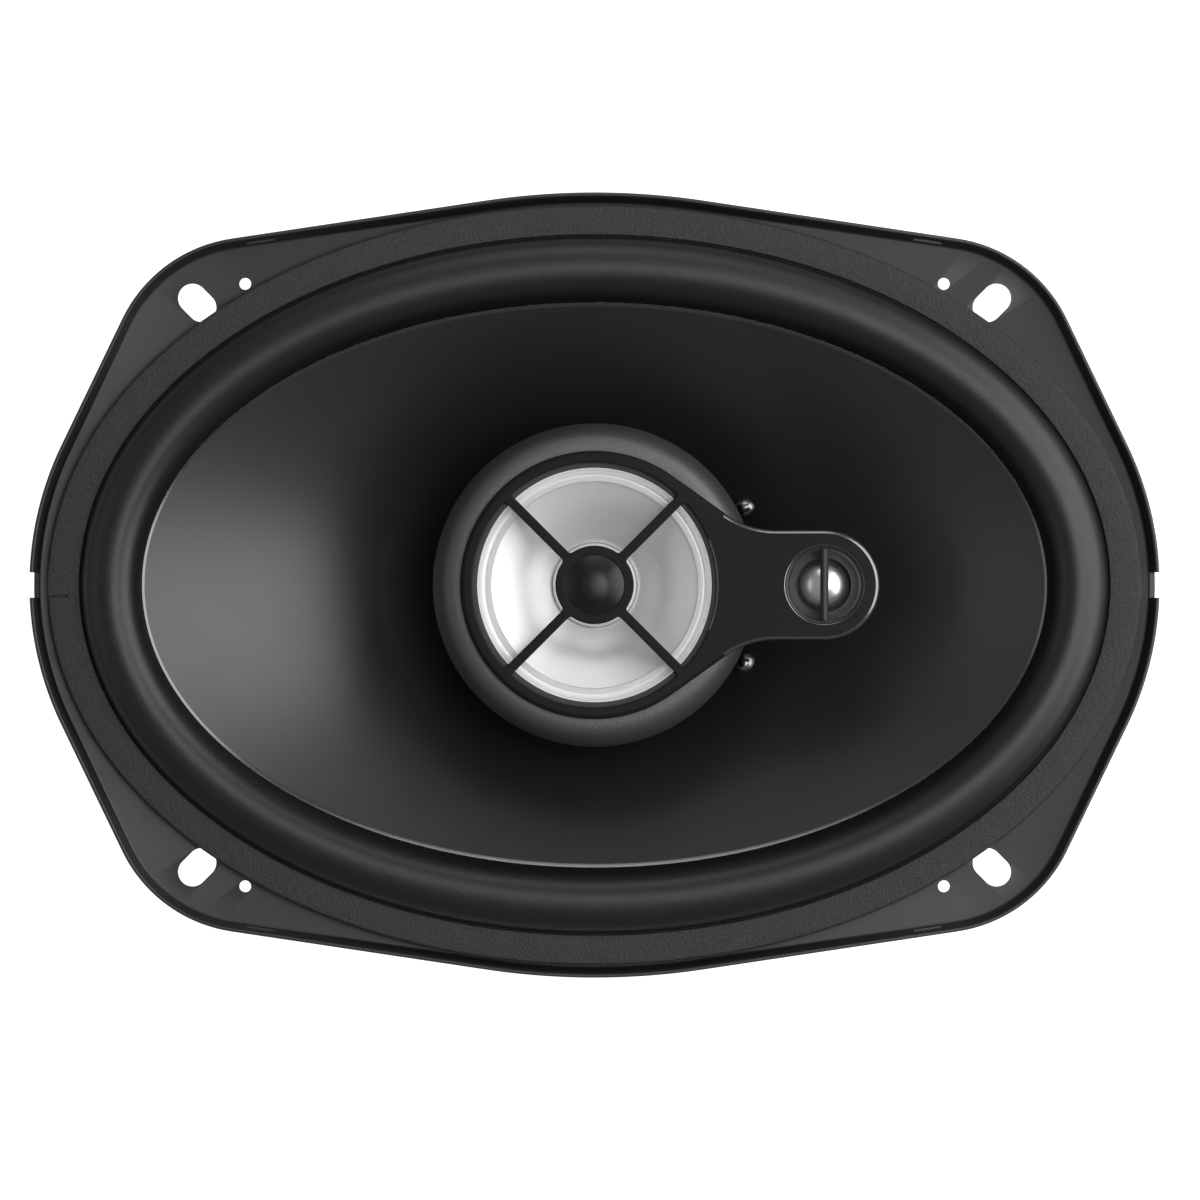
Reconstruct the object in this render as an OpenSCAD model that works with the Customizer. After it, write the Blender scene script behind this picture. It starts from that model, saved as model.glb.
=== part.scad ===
// Coaxial oval car speaker: woofer, midrange in a central pod, tweeter on an arm.
// Origin at the middle of the flange's back face, +Z out of the front, +X along the long side. Millimetres.

/* [Flange] */
// Overall width of the flange
flange_w = 237; // [236:0.5:240]
// Overall height of the flange
flange_h = 164.7; // [164.5:0.1:166]
// Radius of the arcs at the flange's two ends
end_r = 67.4; // [66.5:0.1:68]
// Radius of the flange's four corners
corner_r = 30.4; // [29.5:0.1:31.5]
// Radius of the long arcs at the flange's top and bottom
long_r = 153.6; // [150:0.2:158]
// Distance of a corner's centre from the middle along the width
corner_x = 71.66; // [71.2:0.02:72]
// Distance of a corner's centre from the middle along the height
corner_y = 42.6; // [42.3:0.02:43]
// Thickness of the basket's sheet steel
sheet = 1; // [0.9:0.05:1.2]
// Height of the turned-up lip above the mounting face
lip_h = 5; // [4:0.1:5.5]
// How far the lip leans outward
lip_lean = 1; // [0.8:0.1:1.6]
// Width of the notch in the lip at each end
notch_w = 5.3; // [4:0.1:7]

/* [Fixing holes] */
// Screw slot's middle from the speaker's middle along the width
slot_x = 83.5; // [83:0.1:84]
// Screw slot's middle from the speaker's middle along the height
slot_y = 59.3; // [59:0.1:59.8]
// Width of a screw slot
slot_w = 6.1; // [5:0.1:6.3]
// Distance between the centres of a slot's two round ends
slot_pitch = 2.8; // [2:0.1:3]
// Small hole's centre from the middle along the width
pin_x = 73.4; // [73:0.1:74]
// Small hole's centre from the middle along the height
pin_y = 63.3; // [63:0.1:63.5]
// Diameter of the small holes
pin_d = 2.5; // [2:0.1:2.8]

/* [Cone and edge] */
// Half width of the cone at its edge
cone_rx = 94.5; // [93.5:0.1:95]
// Half height of the cone at its edge
cone_ry = 58.8; // [58:0.1:59.2]
// Half width of the surround's roll at its outer end, the gasket's bore
roll_rx = 108; // [107.8:0.1:108.5]
// Half height of the surround's roll at its outer end
roll_ry = 73.4; // [73.2:0.1:73.8]
// Height of the surround's roll above its two feet
roll_h = 5.1; // [4.5:0.1:6]
// Half width of the gasket
gasket_rx = 114.6; // [114.2:0.1:114.8]
// Half height of the gasket
gasket_ry = 79.6; // [79.2:0.1:79.7]
// Thickness of the gasket
gasket_h = 3.2; // [2.8:0.1:4]
// Depth of the cone from its edge to its neck
cone_depth = 40.4; // [40:0.1:41]
// Thickness of the cone
cone_t = 0.8; // [0.6:0.1:0.9]

/* [Motor] */
// Depth behind the mounting face
mount_depth = 80; // [80:0.1:80.5]
// Radius of the magnet
magnet_r = 45; // [44:0.5:45.4]
// Radius of the top plate and of the back plate
plate_r = 43; // [42:0.5:43.5]
// Bore radius of the voice coil former
former_r = 15; // [14.9:0.1:15.1]

/* [Pod] */
// Widest radius of the midrange pod
pod_r = 34.05; // [33.8:0.05:34.2]
// Outer radius of the front plate's ring
guard_r = 28; // [27.8:0.1:28.2]
// Radius of the opening over the midrange
mid_opening_r = 25.6; // [25.4:0.1:25.8]
// Width of the guard's bars
bar_w = 2; // [1.6:0.1:2.4]
// Height of the front plate's top above the mounting face
front_z = 11; // [10.5:0.1:11.5]
// Tweeter's distance from the speaker's axis
tweeter_x = 48; // [47.6:0.1:48.4]
// Width of the tweeter's arm
arm_w = 23.1; // [22.6:0.1:23.4]
// Radius of the blend between the arm and the ring
arm_blend = 18; // [16:1:20]
// Radius of the tweeter's recess
recess_r = 8.1; // [8:0.05:8.2]
// Radius of the tweeter's dome
dome_r = 5.45; // [5.4:0.05:5.5]

/* [Hidden] */
$fn = 96;

// Points round each oval ring
around = 120;
// Clearance between pieces that only meet
gap = 0.05;

// Levels along the axis, from back to front
back_z = -mount_depth;
plate_t = 6;
magnet_h = 15;
magnet_back_z = back_z + plate_t;
magnet_front_z = magnet_back_z + magnet_h;
motor_front_z = magnet_front_z + plate_t;
seat_z = motor_front_z + sheet;
shelf_z = seat_z + 8;
edge_z = 2.4;
roll_out_z = sheet + 3.4;
roll_in_z = sheet + 0.4;
neck_z = edge_z - cone_depth;

// Radii of the motor, from the axis outwards
post_bore_r = 2.2;
shank_r = 4;
post_r = 6;
pole_r = former_r - 0.4;
former_t = 0.3;
coil_t = 0.7;
coil_h = 12;
gap_r = former_r + former_t + coil_t + 0.4;
magnet_bore_r = 21;
counterbore_r = 9;
counterbore_h = 8;
rivet_ring_r = 31;
rivet_r = 2;

// Basket below the flange
wall_depth = 13;
shelf_out_r = 47.5;
shelf_in_r = 40.5;
seat_r = 35;
seat_bore_r = 24;
window_in_r = 51.5;
window_rx = 96;
window_ry = 61.5;
spoke_w = 15;
spoke_top = [roll_rx - 5, -wall_depth - 0.4];
spoke_foot = [shelf_out_r + 3.4, shelf_z + 1.4];
spoke_mid = (spoke_top + spoke_foot) / 2;
spoke_slope = atan2(spoke_top.y - spoke_foot.y, spoke_top.x - spoke_foot.x);

// Terminal strip on the spoke, with its two tabs
strip_l = 16;
strip_w = 34;
strip_t = 1.6;
strip_out_z = -strip_t - gap;
strip_rivet_y = 4.5;
strip_rivet_r = 1.5;
tab_y = 12.4;
tab_t = 0.8;
tab_l = 8.5;
lug_w = 4;

// Cone's neck and its two lead joints
neck_r = 15.9;
cone_power = 0.85;
joint_s = 0.3;
joint_angle = 35.4;
joint_r = 2.6;

// Pod, from the bowl's lowest level upwards
pod_floor_z = -22;
pod_wide_z = -4;
// 1 makes the pod's shoulder a quarter ellipse, less makes it fuller
shoulder_fill = 0.72;
pod_wall = 1.6;
pod_foot_r = 10;
tenon_r = 4.5;
plate_back_z = front_z - 2;
arm_floor_z = 0;
arm_wall = 1.3;
arm_tangent = 54.5;

// Midrange
mid_edge_z = 7.6;
mid_edge_r = 21.6;
mid_roll_r = 24.3;
mid_neck_r = 8.9;
mid_neck_z = 0;
mid_seat_r = 26.8;
mid_coil_r = 6.5;
mid_motor_z = -3;
mid_pot_h = 10;
mid_pot_r = 11.5;

// Tweeter
dome_z = 6.2;
dome_h = 2.8;
tweeter_coil_r = 4.9;
tweeter_pot_z = 1.5;

// ---------- outlines ----------

// Radius from a centre in direction t of a circle with centre c and radius r
function ray_to_circle(c, r, t) =
    let (along = c * [cos(t), sin(t)])
    along + sqrt(r * r - c * c + along * along);

// The same for the line that touches the circle in direction n
function ray_to_tangent(c, r, n, t) = (c * [cos(n), sin(n)] + r) / cos(n - t);

// Direction of the line that touches two circles on their outer side
function shared_tangent(c1, r1, c2, r2) =
    let (d = c2 - c1)
    atan2(d.y, d.x) - acos((r1 - r2) / norm(d));

function circle_point(c, r, t) = c + r * [cos(t), sin(t)];
function direction(p) = atan2(p.y, p.x);

// The flange's outline, moved inwards by inset: its radius in direction t
function flange_radius(inset, t) =
    let (
        a = atan2(abs(sin(t)), abs(cos(t))),
        end_c = [flange_w / 2 - end_r, 0],
        corner_c = [corner_x, corner_y],
        long_c = [0, flange_h / 2 - long_r],
        side_n = shared_tangent(end_c, end_r, corner_c, corner_r),
        top_n = shared_tangent(corner_c, corner_r, long_c, long_r) + 360,
        r1 = end_r - inset,
        r2 = corner_r - inset,
        r3 = long_r - inset
    )
    a < direction(circle_point(end_c, r1, side_n)) ? ray_to_circle(end_c, r1, a)
    : a < direction(circle_point(corner_c, r2, side_n)) ? ray_to_tangent(end_c, r1, side_n, a)
    : a < direction(circle_point(corner_c, r2, top_n)) ? ray_to_circle(corner_c, r2, a)
    : a < direction(circle_point(long_c, r3, top_n)) ? ray_to_tangent(long_c, r3, top_n, a)
    : ray_to_circle(long_c, r3, a);

// A level ring of points on an ellipse
function oval(rx, ry, z) = [
    for (i = [0 : around - 1])
        let (t = 360 * i / around)
        [rx * cos(t), ry * sin(t), z]
];

// A level ring on the flange's outline, its points in the directions of the gasket's
function flange_ring(inset, z) = [
    for (p = oval(gasket_rx, gasket_ry, z))
        let (t = direction(p), r = flange_radius(inset, t))
        [r * cos(t), r * sin(t), z]
];

function arc(c, r, from, to, steps) = [
    for (i = [0 : steps]) circle_point(c, r, from + (to - from) * i / steps)
];
function flip_y(points) = [for (i = [len(points) - 1 : -1 : 0]) [points[i].x, -points[i].y]];

// A smooth path through hand-set points, with extra points between them
function path_point(p, i) = p[min(max(i, 0), len(p) - 1)];
function smooth(p, steps) = [
    for (i = [0 : len(p) - 2], k = [0 : i == len(p) - 2 ? steps : steps - 1])
        let (
            u = k / steps,
            a = path_point(p, i - 1),
            b = p[i],
            c = p[i + 1],
            d = path_point(p, i + 2)
        )
        b + u * (c - a) / 2
            + u * u * (a - 2.5 * b + 2 * c - d / 2)
            + u * u * u * ((d - a) / 2 + 1.5 * (b - c))
];

// ---------- solids from rings ----------

// Closed band: each ring joins the next, and the last joins the first
module band(rings) {
    n = len(rings[0]);
    m = len(rings);
    polyhedron(
        points = [for (r = rings, p = r) p],
        faces = [
            for (i = [0 : m - 1], j = [0 : n - 1])
                let (
                    next = (i + 1) % m * n,
                    a = i * n + j,
                    b = i * n + (j + 1) % n,
                    c = next + (j + 1) % n,
                    d = next + j
                )
                for (face = [[a, c, b], [a, d, c]]) face
        ]
    );
}

// Round wire along a path that never runs parallel to Y
module wire(path, r) {
    sides = 8;
    last = len(path) - 1;
    rings = [
        for (i = [0 : last])
            let (
                along = path[min(i + 1, last)] - path[max(i - 1, 0)],
                u = cross(along, [0, 1, 0]) / norm(cross(along, [0, 1, 0])),
                v = cross(along, u) / norm(along)
            )
            [for (k = [0 : sides - 1]) let (t = 360 * k / sides) path[i] + r * (u * cos(t) + v * sin(t))]
    ];
    polyhedron(
        points = [for (ring = rings, p = ring) p],
        faces = concat(
            [[for (k = [0 : sides - 1]) k]],
            [[for (k = [sides - 1 : -1 : 0]) last * sides + k]],
            [
                for (i = [0 : last - 1], k = [0 : sides - 1])
                    let (a = i * sides + k, b = i * sides + (k + 1) % sides)
                    for (face = [[a, b + sides, b], [a, a + sides, b + sides]]) face
            ]
        )
    );
}

// Ring with a straight bore
module washer(r_out, r_in, z, h) {
    translate([0, 0, z]) difference() {
        cylinder(h = h, r = r_out);
        translate([0, 0, -1]) cylinder(h = h + 2, r = r_in);
    }
}

module turned(profile) {
    rotate_extrude() polygon(profile);
}

module in_four_corners() {
    for (sx = [0, 1], sy = [0, 1]) mirror([sx, 0, 0]) mirror([0, sy, 0]) children();
}

module at_tweeter() {
    translate([tweeter_x, 0, 0]) children();
}

// ---------- basket ----------

// Front side of the pressing from the lip inwards, then the back side outwards
module basket_pressing() {
    s = sheet;
    band([
        flange_ring(0.8, lip_h),
        flange_ring(lip_lean + 0.8, s),
        oval(roll_rx - 0.8, roll_ry - 0.8, s),
        oval(roll_rx - 2.2, roll_ry - 2.2, -s),
        oval(roll_rx - 6, roll_ry - 6, -wall_depth),
        oval(shelf_out_r + 2.5, shelf_out_r + 2.5, shelf_z + 2),
        oval(shelf_out_r, shelf_out_r, shelf_z),
        oval(shelf_in_r, shelf_in_r, shelf_z),
        oval(shelf_in_r - 2, shelf_in_r - 2, shelf_z - 2),
        oval(seat_r + 1.5, seat_r + 1.5, seat_z + 1),
        oval(seat_r, seat_r, seat_z),
        oval(seat_bore_r, seat_bore_r, seat_z),
        oval(seat_bore_r, seat_bore_r, motor_front_z),
        oval(seat_r + 0.6, seat_r + 0.6, motor_front_z),
        oval(seat_r + 2.5, seat_r + 2.5, seat_z + 0.6),
        oval(shelf_in_r - 1, shelf_in_r - 1, shelf_z - 2.4),
        oval(shelf_in_r + 0.5, shelf_in_r + 0.5, shelf_z - s),
        oval(shelf_out_r + 0.4, shelf_out_r + 0.4, shelf_z - s),
        oval(spoke_foot.x, spoke_foot.x, spoke_foot.y),
        oval(spoke_top.x, roll_ry - 5, spoke_top.y),
        oval(roll_rx - 1.2, roll_ry - 1.2, -s - 0.4),
        oval(roll_rx - 0.1, roll_ry - 0.1, 0),
        flange_ring(lip_lean, 0),
        flange_ring(0, lip_h)
    ]);
}

// Point at radius r on one side of the spoke in direction a, at distance off from the spoke's middle line
function beside_spoke(a, side, r, off) = circle_point([0, 0], r, a + side * asin(off / r));
function window_outer(t) = 1 / sqrt(pow(cos(t) / window_rx, 2) + pow(sin(t) / window_ry, 2));

// One window's plan between the spokes in directions a1 and a2, its four corners cut off
function window_plan(a1, a2) =
    let (
        half = spoke_w / 2,
        cut = 4,
        t1 = a1 + asin((half + cut) / window_outer(a1)),
        t2 = a2 - asin((half + cut) / window_outer(a2)),
        steps = 6
    )
    [
        beside_spoke(a1, 1, window_in_r, half + cut),
        beside_spoke(a1, 1, window_in_r + cut, half),
        beside_spoke(a1, 1, window_outer(t1) - cut, half),
        for (i = [0 : steps]) let (t = t1 + (t2 - t1) * i / steps) circle_point([0, 0], window_outer(t), t),
        beside_spoke(a2, -1, window_outer(t2) - cut, half),
        beside_spoke(a2, -1, window_in_r + cut, half),
        beside_spoke(a2, -1, window_in_r, half + cut),
        for (u = [0.7, 0.5, 0.3]) circle_point([0, 0], window_in_r, a1 + (a2 - a1) * u)
    ];

module basket_windows() {
    bottom = shelf_z + 1.5;
    for (a = [0 : 45 : 315])
        translate([0, 0, bottom]) linear_extrude(-wall_depth - shelf_z) polygon(window_plan(a, a + 45));
}

// Slot whose long axis points at the speaker's middle
module screw_slot() {
    translate([slot_x, slot_y, -1]) rotate(45) {
        for (side = [-1, 1]) translate([side * slot_pitch / 2, 0, 0]) cylinder(h = sheet + 2, d = slot_w);
        translate([-slot_pitch / 2, -slot_w / 2, 0]) cube([slot_pitch, slot_w, sheet + 2]);
    }
}

// Slit through the lip where a grille's clip hooks in
module grille_clip_slit() {
    slit = [6, 10, 1.6];
    first_x = 67;
    floor_z = 1.8;
    translate([first_x, flange_h / 2 - 14, floor_z]) cube(slit);
}

// Cutter for the notch in the lip at each end
module end_notches() {
    reach = 6;
    for (side = [-1, 1])
        translate([side * flange_w / 2 - reach / 2, -notch_w / 2, sheet + 0.2]) cube([reach, notch_w, lip_h]);
}

module basket() {
    color("#29292b") difference() {
        basket_pressing();
        basket_windows();
        in_four_corners() {
            screw_slot();
            translate([pin_x, pin_y, -1]) cylinder(h = sheet + 2, d = pin_d);
            grille_clip_slit();
        }
        end_notches();
        for (a = [45 : 90 : 315])
            rotate(a) translate([rivet_ring_r, 0, motor_front_z - 1]) cylinder(h = 3, r = rivet_r);
        on_spoke() for (side = [-1, 1])
            translate([0, side * strip_rivet_y, -3]) cylinder(h = 6, r = strip_rivet_r);
    }
}

// ---------- woofer's soft parts ----------

module gasket() {
    bottom = sheet + 0.8;
    color("#3d3d3f") band([
        oval(gasket_rx - 0.6, gasket_ry - 0.6, bottom + gasket_h),
        oval(roll_rx + 0.6, roll_ry + 0.6, bottom + gasket_h),
        oval(roll_rx, roll_ry, bottom + gasket_h - 0.6),
        oval(roll_rx, roll_ry, bottom),
        oval(gasket_rx, gasket_ry, bottom),
        oval(gasket_rx, gasket_ry, bottom + gasket_h - 0.6)
    ]);
}

// The roll's section at angle t, from 0 at the outside to 180 at the cone; out moves it off the middle line
function roll_ring(t, out) =
    let (u = (1 - cos(t)) / 2, grow = out * cos(t))
    oval(
        roll_rx - 0.7 + u * (cone_rx + 1.3 - roll_rx) + grow,
        roll_ry - 0.7 + u * (cone_ry + 1.3 - roll_ry) + grow,
        roll_out_z + u * (roll_in_z - roll_out_z) + (roll_h + out) * sin(t)
    );

module surround() {
    t = 0.8;
    tuck_s = 0.955;
    under_edge = edge_z - cone_t - 0.1;
    color("#1c1c1e") band([
        oval(roll_rx + 4.5, roll_ry + 4.3, sheet + t),
        oval(roll_rx - 0.2, roll_ry - 0.2, sheet + t),
        for (a = [12 : 18 : 156]) roll_ring(a, t / 2),
        oval(cone_rx + 0.5, cone_ry + 0.5, under_edge),
        cone_ring(tuck_s, -cone_t - 0.1),
        cone_ring(tuck_s, -cone_t - 0.1 - t),
        oval(cone_rx + 0.6, cone_ry + 0.6, under_edge - t),
        for (a = [156 : -18 : 12]) roll_ring(a, -t / 2),
        oval(roll_rx - 1, roll_ry - 1, sheet),
        oval(roll_rx + 4.5, roll_ry + 4.3, sheet)
    ]);
}

module spider() {
    t = 0.5;
    waves = 5;
    from_r = former_r + former_t + coil_t + 0.6;
    to_r = shelf_in_r - 0.5;
    mid_z = shelf_z + t / 2 + gap;
    ripple = [
        for (i = [0 : 60])
            let (r = from_r + (to_r - from_r) * i / 60)
            [r, mid_z + 1.3 * sin(360 * waves * i / 60)]
    ];
    hub = [former_r + former_t + gap, mid_z];
    rim = [shelf_out_r - 0.8, mid_z];
    line = concat([hub], ripple, [rim]);
    color("#c8a24a") turned(concat(
        [for (p = line) p - [0, t / 2]],
        [for (i = [len(line) - 1 : -1 : 0]) line[i] + [0, t / 2]]
    ));
}

// ---------- woofer's motor ----------

module top_plate() {
    color("#8d9096") difference() {
        washer(plate_r, gap_r, magnet_front_z, plate_t);
        for (a = [45 : 90 : 315])
            rotate(a) translate([rivet_ring_r, 0, motor_front_z - 4]) cylinder(h = 5, r = rivet_r);
    }
}

module magnet() {
    color("#3a3a3c") washer(magnet_r, magnet_bore_r, magnet_back_z, magnet_h);
}

module back_plate() {
    groove_w = 4;
    color("#8d9096") difference() {
        union() {
            translate([0, 0, back_z]) cylinder(h = plate_t, r = plate_r);
            translate([0, 0, back_z]) cylinder(h = motor_front_z - back_z, r = pole_r);
        }
        translate([0, 0, back_z - 1]) cylinder(h = counterbore_h + 1, r = counterbore_r);
        translate([0, 0, back_z]) cylinder(h = motor_front_z - back_z + 1, r = shank_r + 0.1);
        translate([0, -groove_w / 2, back_z - 1]) cube([plate_r + 1, groove_w, 4]);
    }
}

module stake_rivets() {
    color("#a5a8ad") for (a = [45 : 90 : 315]) rotate(a) translate([rivet_ring_r, 0, 0]) {
        translate([0, 0, motor_front_z - 4]) cylinder(h = 4 + sheet, r = rivet_r);
        translate([0, 0, seat_z]) cylinder(h = 1.2, r1 = rivet_r + 1.2, r2 = rivet_r);
    }
}

// ---------- terminals ----------

// Frame on the outer face of the +X spoke: X up the slope, Y across, -Z out of the basket
module on_spoke() {
    translate([spoke_mid.x, 0, spoke_mid.y]) rotate([0, -spoke_slope, 0]) children();
}

module terminal_strip() {
    lug_hole_w = 2.6;
    color("#5a3d22") on_spoke() difference() {
        translate([-strip_l / 2, -strip_w / 2, strip_out_z]) cube([strip_l, strip_w, strip_t]);
        for (side = [-1, 1]) translate([0, 0, strip_out_z - 1]) {
            translate([0, side * strip_rivet_y, 0]) cylinder(h = strip_t + 2, r = strip_rivet_r);
            translate([-lug_w, side * tab_y - lug_hole_w / 2, 0]) cube([2 * lug_w, lug_hole_w, strip_t + 2]);
        }
    }
}

// Foot on the strip, blade standing out of the basket, solder lug going in through the window
module terminal(side, blade_w) {
    foot_y = 2.4;
    foot_l = tab_y + tab_t / 2 - foot_y;
    lug_l = strip_t + 3.4;
    catch_r = 0.8;
    color("#c9b458") on_spoke() translate([0, 0, strip_out_z]) difference() {
        union() {
            translate([-blade_w / 2, side > 0 ? foot_y : -foot_y - foot_l, -tab_t])
                cube([blade_w, foot_l, tab_t]);
            translate([-blade_w / 2, side * tab_y - tab_t / 2, -tab_l]) cube([blade_w, tab_t, tab_l]);
            translate([-lug_w / 2, side * tab_y - tab_t / 2, -tab_t]) cube([lug_w, tab_t, lug_l]);
        }
        translate([0, side * strip_rivet_y, -2]) cylinder(h = 3, r = strip_rivet_r);
        translate([0, side * tab_y, 3.2 - tab_l])
            rotate([90, 0, 0]) cylinder(h = 4, r = catch_r, center = true);
    }
}

module terminal_positive() {
    terminal(1, 6.35);
}

module terminal_negative() {
    terminal(-1, 4.75);
}

// The heads inside stand clear of the spoke, whose sides curve inwards
module terminal_rivets() {
    outer_z = strip_out_z - tab_t;
    inner_z = sheet + 0.45;
    head_h = 0.7;
    color("#a5a8ad") on_spoke() for (side = [-1, 1]) translate([0, side * strip_rivet_y, 0]) {
        translate([0, 0, outer_z]) cylinder(h = inner_z + gap - outer_z, r = strip_rivet_r - gap);
        translate([0, 0, outer_z - head_h]) cylinder(h = head_h, r1 = 1.6, r2 = 2.1);
        translate([0, 0, inner_z]) cylinder(h = head_h, r1 = 2.1, r2 = 1.6);
    }
}

// Slack loop from the solder lug to the joint under the cone
lead_route = [[74.5, 12.4, -25.7], [70.5, 12.6, -25], [62, 13.4, -28.2], [53, 14.4, -32], [45, 15.4, -33.4],
    [38, 16.1, -32], [34, 16.5, -29.6], [32.4, 16.6, -27.8]];

function mirrored(route, side) = [for (p = route) [p.x, side * p.y, p.z]];

module lead_positive() {
    color("#b87f4a") wire(smooth(mirrored(lead_route, 1), 3), 0.6);
}

module lead_negative() {
    color("#b87f4a") wire(smooth(mirrored(lead_route, -1), 3), 0.6);
}

// ---------- post ----------

module centre_post() {
    shoulder_z = motor_front_z + gap;
    color("#3b3c3e") difference() {
        union() {
            translate([0, 0, shoulder_z]) cylinder(h = pod_floor_z - shoulder_z, r = post_r);
            translate([0, 0, pod_floor_z - 2]) cylinder(h = 2, r = pod_foot_r + 1);
            translate([0, 0, pod_floor_z]) cylinder(h = 2.4, r = tenon_r);
            translate([0, 0, back_z + 3.2]) cylinder(h = mount_depth + motor_front_z, r = shank_r);
        }
        translate([0, 0, back_z]) cylinder(h = mount_depth, r = post_bore_r);
    }
}

module post_nut() {
    top = back_z + counterbore_h;
    color("#a5a8ad") {
        difference() {
            translate([0, 0, top - 4.6]) cylinder(h = 3.6, r = 7.2, $fn = 6);
            translate([0, 0, top - 5]) cylinder(h = 5, r = shank_r + gap);
        }
        washer(8.4, shank_r + gap, top - 0.95, 0.9);
    }
}

// Out of the pod, down the post, along the back plate's groove and up the magnet's side to the terminals
wire_route = [[0, 1, -17.5], [0, 1, -24], [0, 1, -40], [0, 1, -60], [0, 1, -75], [0.6, 1, -77.6],
    [3, 1, -78.4], [8, 1, -78.4], [25, 1, -78.4], [43, 1, -78.4], [46, 1, -77.4], [46.8, 1, -74],
    [46.8, 1, -60], [47, 1.6, -50], [51, 4, -45.4], [58, 8, -41.6], [64, 10.4, -38.6], [70.5, 10.6, -36.2],
    [75, 9.8, -33.6], [76.8, 9.4, -31.8]];

module pod_wires() {
    color("#8c2f2a") for (side = [-1, 1]) wire(smooth(mirrored(wire_route, side), 3), 0.55);
}

// ---------- pod ----------

// Bowl and shoulder of the pod, pulled inwards by t
function pod_bowl(t) =
    let (w = pod_r - t - pod_foot_r, h = pod_wide_z - pod_floor_z - t)
    [for (u = [0 : 9 : 90]) [pod_foot_r + w * sin(u), pod_wide_z - h * cos(u)]];
function pod_shoulder(t) =
    let (mouth_r = guard_r + 0.2, w = pod_r - t - mouth_r, h = plate_back_z - gap - pod_wide_z)
    [for (u = [9 : 9 : 90])
        [mouth_r + w * pow(cos(u), shoulder_fill), pod_wide_z + h * pow(sin(u), shoulder_fill)]];

module pod_envelope() {
    turned(concat([[0, pod_floor_z]], pod_bowl(0), pod_shoulder(0), [[0, plate_back_z - gap]]));
}

module pod_housing() {
    inner = pod_bowl(pod_wall);
    color("#4b4c4f") turned(concat(
        [[tenon_r + gap, pod_floor_z]],
        pod_bowl(0),
        pod_shoulder(0),
        [[mid_seat_r + 0.3, plate_back_z - gap], [mid_seat_r + 0.3, 5.2], [30, 1]],
        [for (i = [len(inner) - 1 : -1 : 0]) inner[i]],
        [[tenon_r + gap, pod_floor_z + pod_wall]]
    ));
}

// Half of the front plate's outline from the arm's tip to the ring's far side, pulled inwards by t
function plate_half(t) =
    let (
        half = arm_w / 2 - t,
        ring = guard_r - t,
        blend = arm_blend + t,
        n = [cos(arm_tangent), sin(arm_tangent)],
        centre_y = half + blend,
        centre = [(ring + blend - n.y * centre_y) / n.x, centre_y]
    )
    concat(
        arc([tweeter_x, 0], half, 0, 90, 18),
        arc(centre, blend, 270, 180 + arm_tangent, 8),
        arc([0, 0], ring, arm_tangent, 180, 36)
    );

module plate_outline(t) {
    half = plate_half(t);
    lower = flip_y(half);
    polygon(concat(half, [for (i = [1 : len(lower) - 2]) lower[i]]));
}

module guard_bars() {
    hub_r = 8.2;
    bar_t = front_z - plate_back_z;
    start_r = hub_r - bar_w / 2;
    bar_l = mid_opening_r + bar_w / 2 - start_r;
    for (a = [45 : 90 : 315])
        rotate(a) translate([start_r, -bar_w / 2, plate_back_z]) cube([bar_l, bar_w, bar_t]);
    washer(hub_r, hub_r - bar_w, plate_back_z, bar_t);
}

module front_plate() {
    color("#333335") {
        difference() {
            translate([0, 0, plate_back_z]) linear_extrude(front_z - plate_back_z) plate_outline(0);
            translate([0, 0, plate_back_z - 1]) cylinder(h = 4, r = mid_opening_r);
            at_tweeter() translate([0, 0, plate_back_z - 1]) cylinder(h = 4, r = recess_r);
        }
        guard_bars();
    }
}

module tweeter_arm() {
    inset = 0.7;
    arm_h = plate_back_z - gap - arm_floor_z;
    color("#2f2f31") difference() {
        translate([0, 0, arm_floor_z]) linear_extrude(arm_h) plate_outline(inset);
        translate([0, 0, arm_floor_z + arm_wall]) linear_extrude(arm_h) plate_outline(inset + arm_wall);
        pod_envelope();
        translate([-60, -40, -20]) cube([80, 80, 40]);
    }
}

// ---------- midrange ----------

module mid_frame() {
    floor_z = mid_motor_z;
    seat_top = plate_back_z - 0.6;
    bore = mid_coil_r + 1.6;
    color("#77797c") turned([
        [mid_seat_r, 7.4], [mid_seat_r, seat_top], [mid_roll_r + 0.2, seat_top], [mid_roll_r + 0.2, 7.2],
        [22.8, 4], [14, floor_z + 1.2], [bore, floor_z + 1.2], [bore, floor_z],
        [14.6, floor_z], [23.8, 3.4], [24.4, 4.4]
    ]);
}

module mid_pot() {
    bottom = mid_motor_z - mid_pot_h;
    color("#9a9ca1") difference() {
        translate([0, 0, bottom]) cylinder(h = mid_pot_h, r = mid_pot_r);
        translate([0, 0, bottom + 2]) cylinder(h = mid_pot_h, r = mid_coil_r + 1.2);
    }
}

module mid_magnet() {
    color("#b9bbbe") translate([0, 0, mid_motor_z - mid_pot_h + 2]) cylinder(h = 5, r = mid_coil_r - 0.7);
}

module mid_pole_plate() {
    color("#9a9ca1") translate([0, 0, mid_motor_z - mid_pot_h + 7]) cylinder(h = 3, r = mid_coil_r - 0.4);
}

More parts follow.
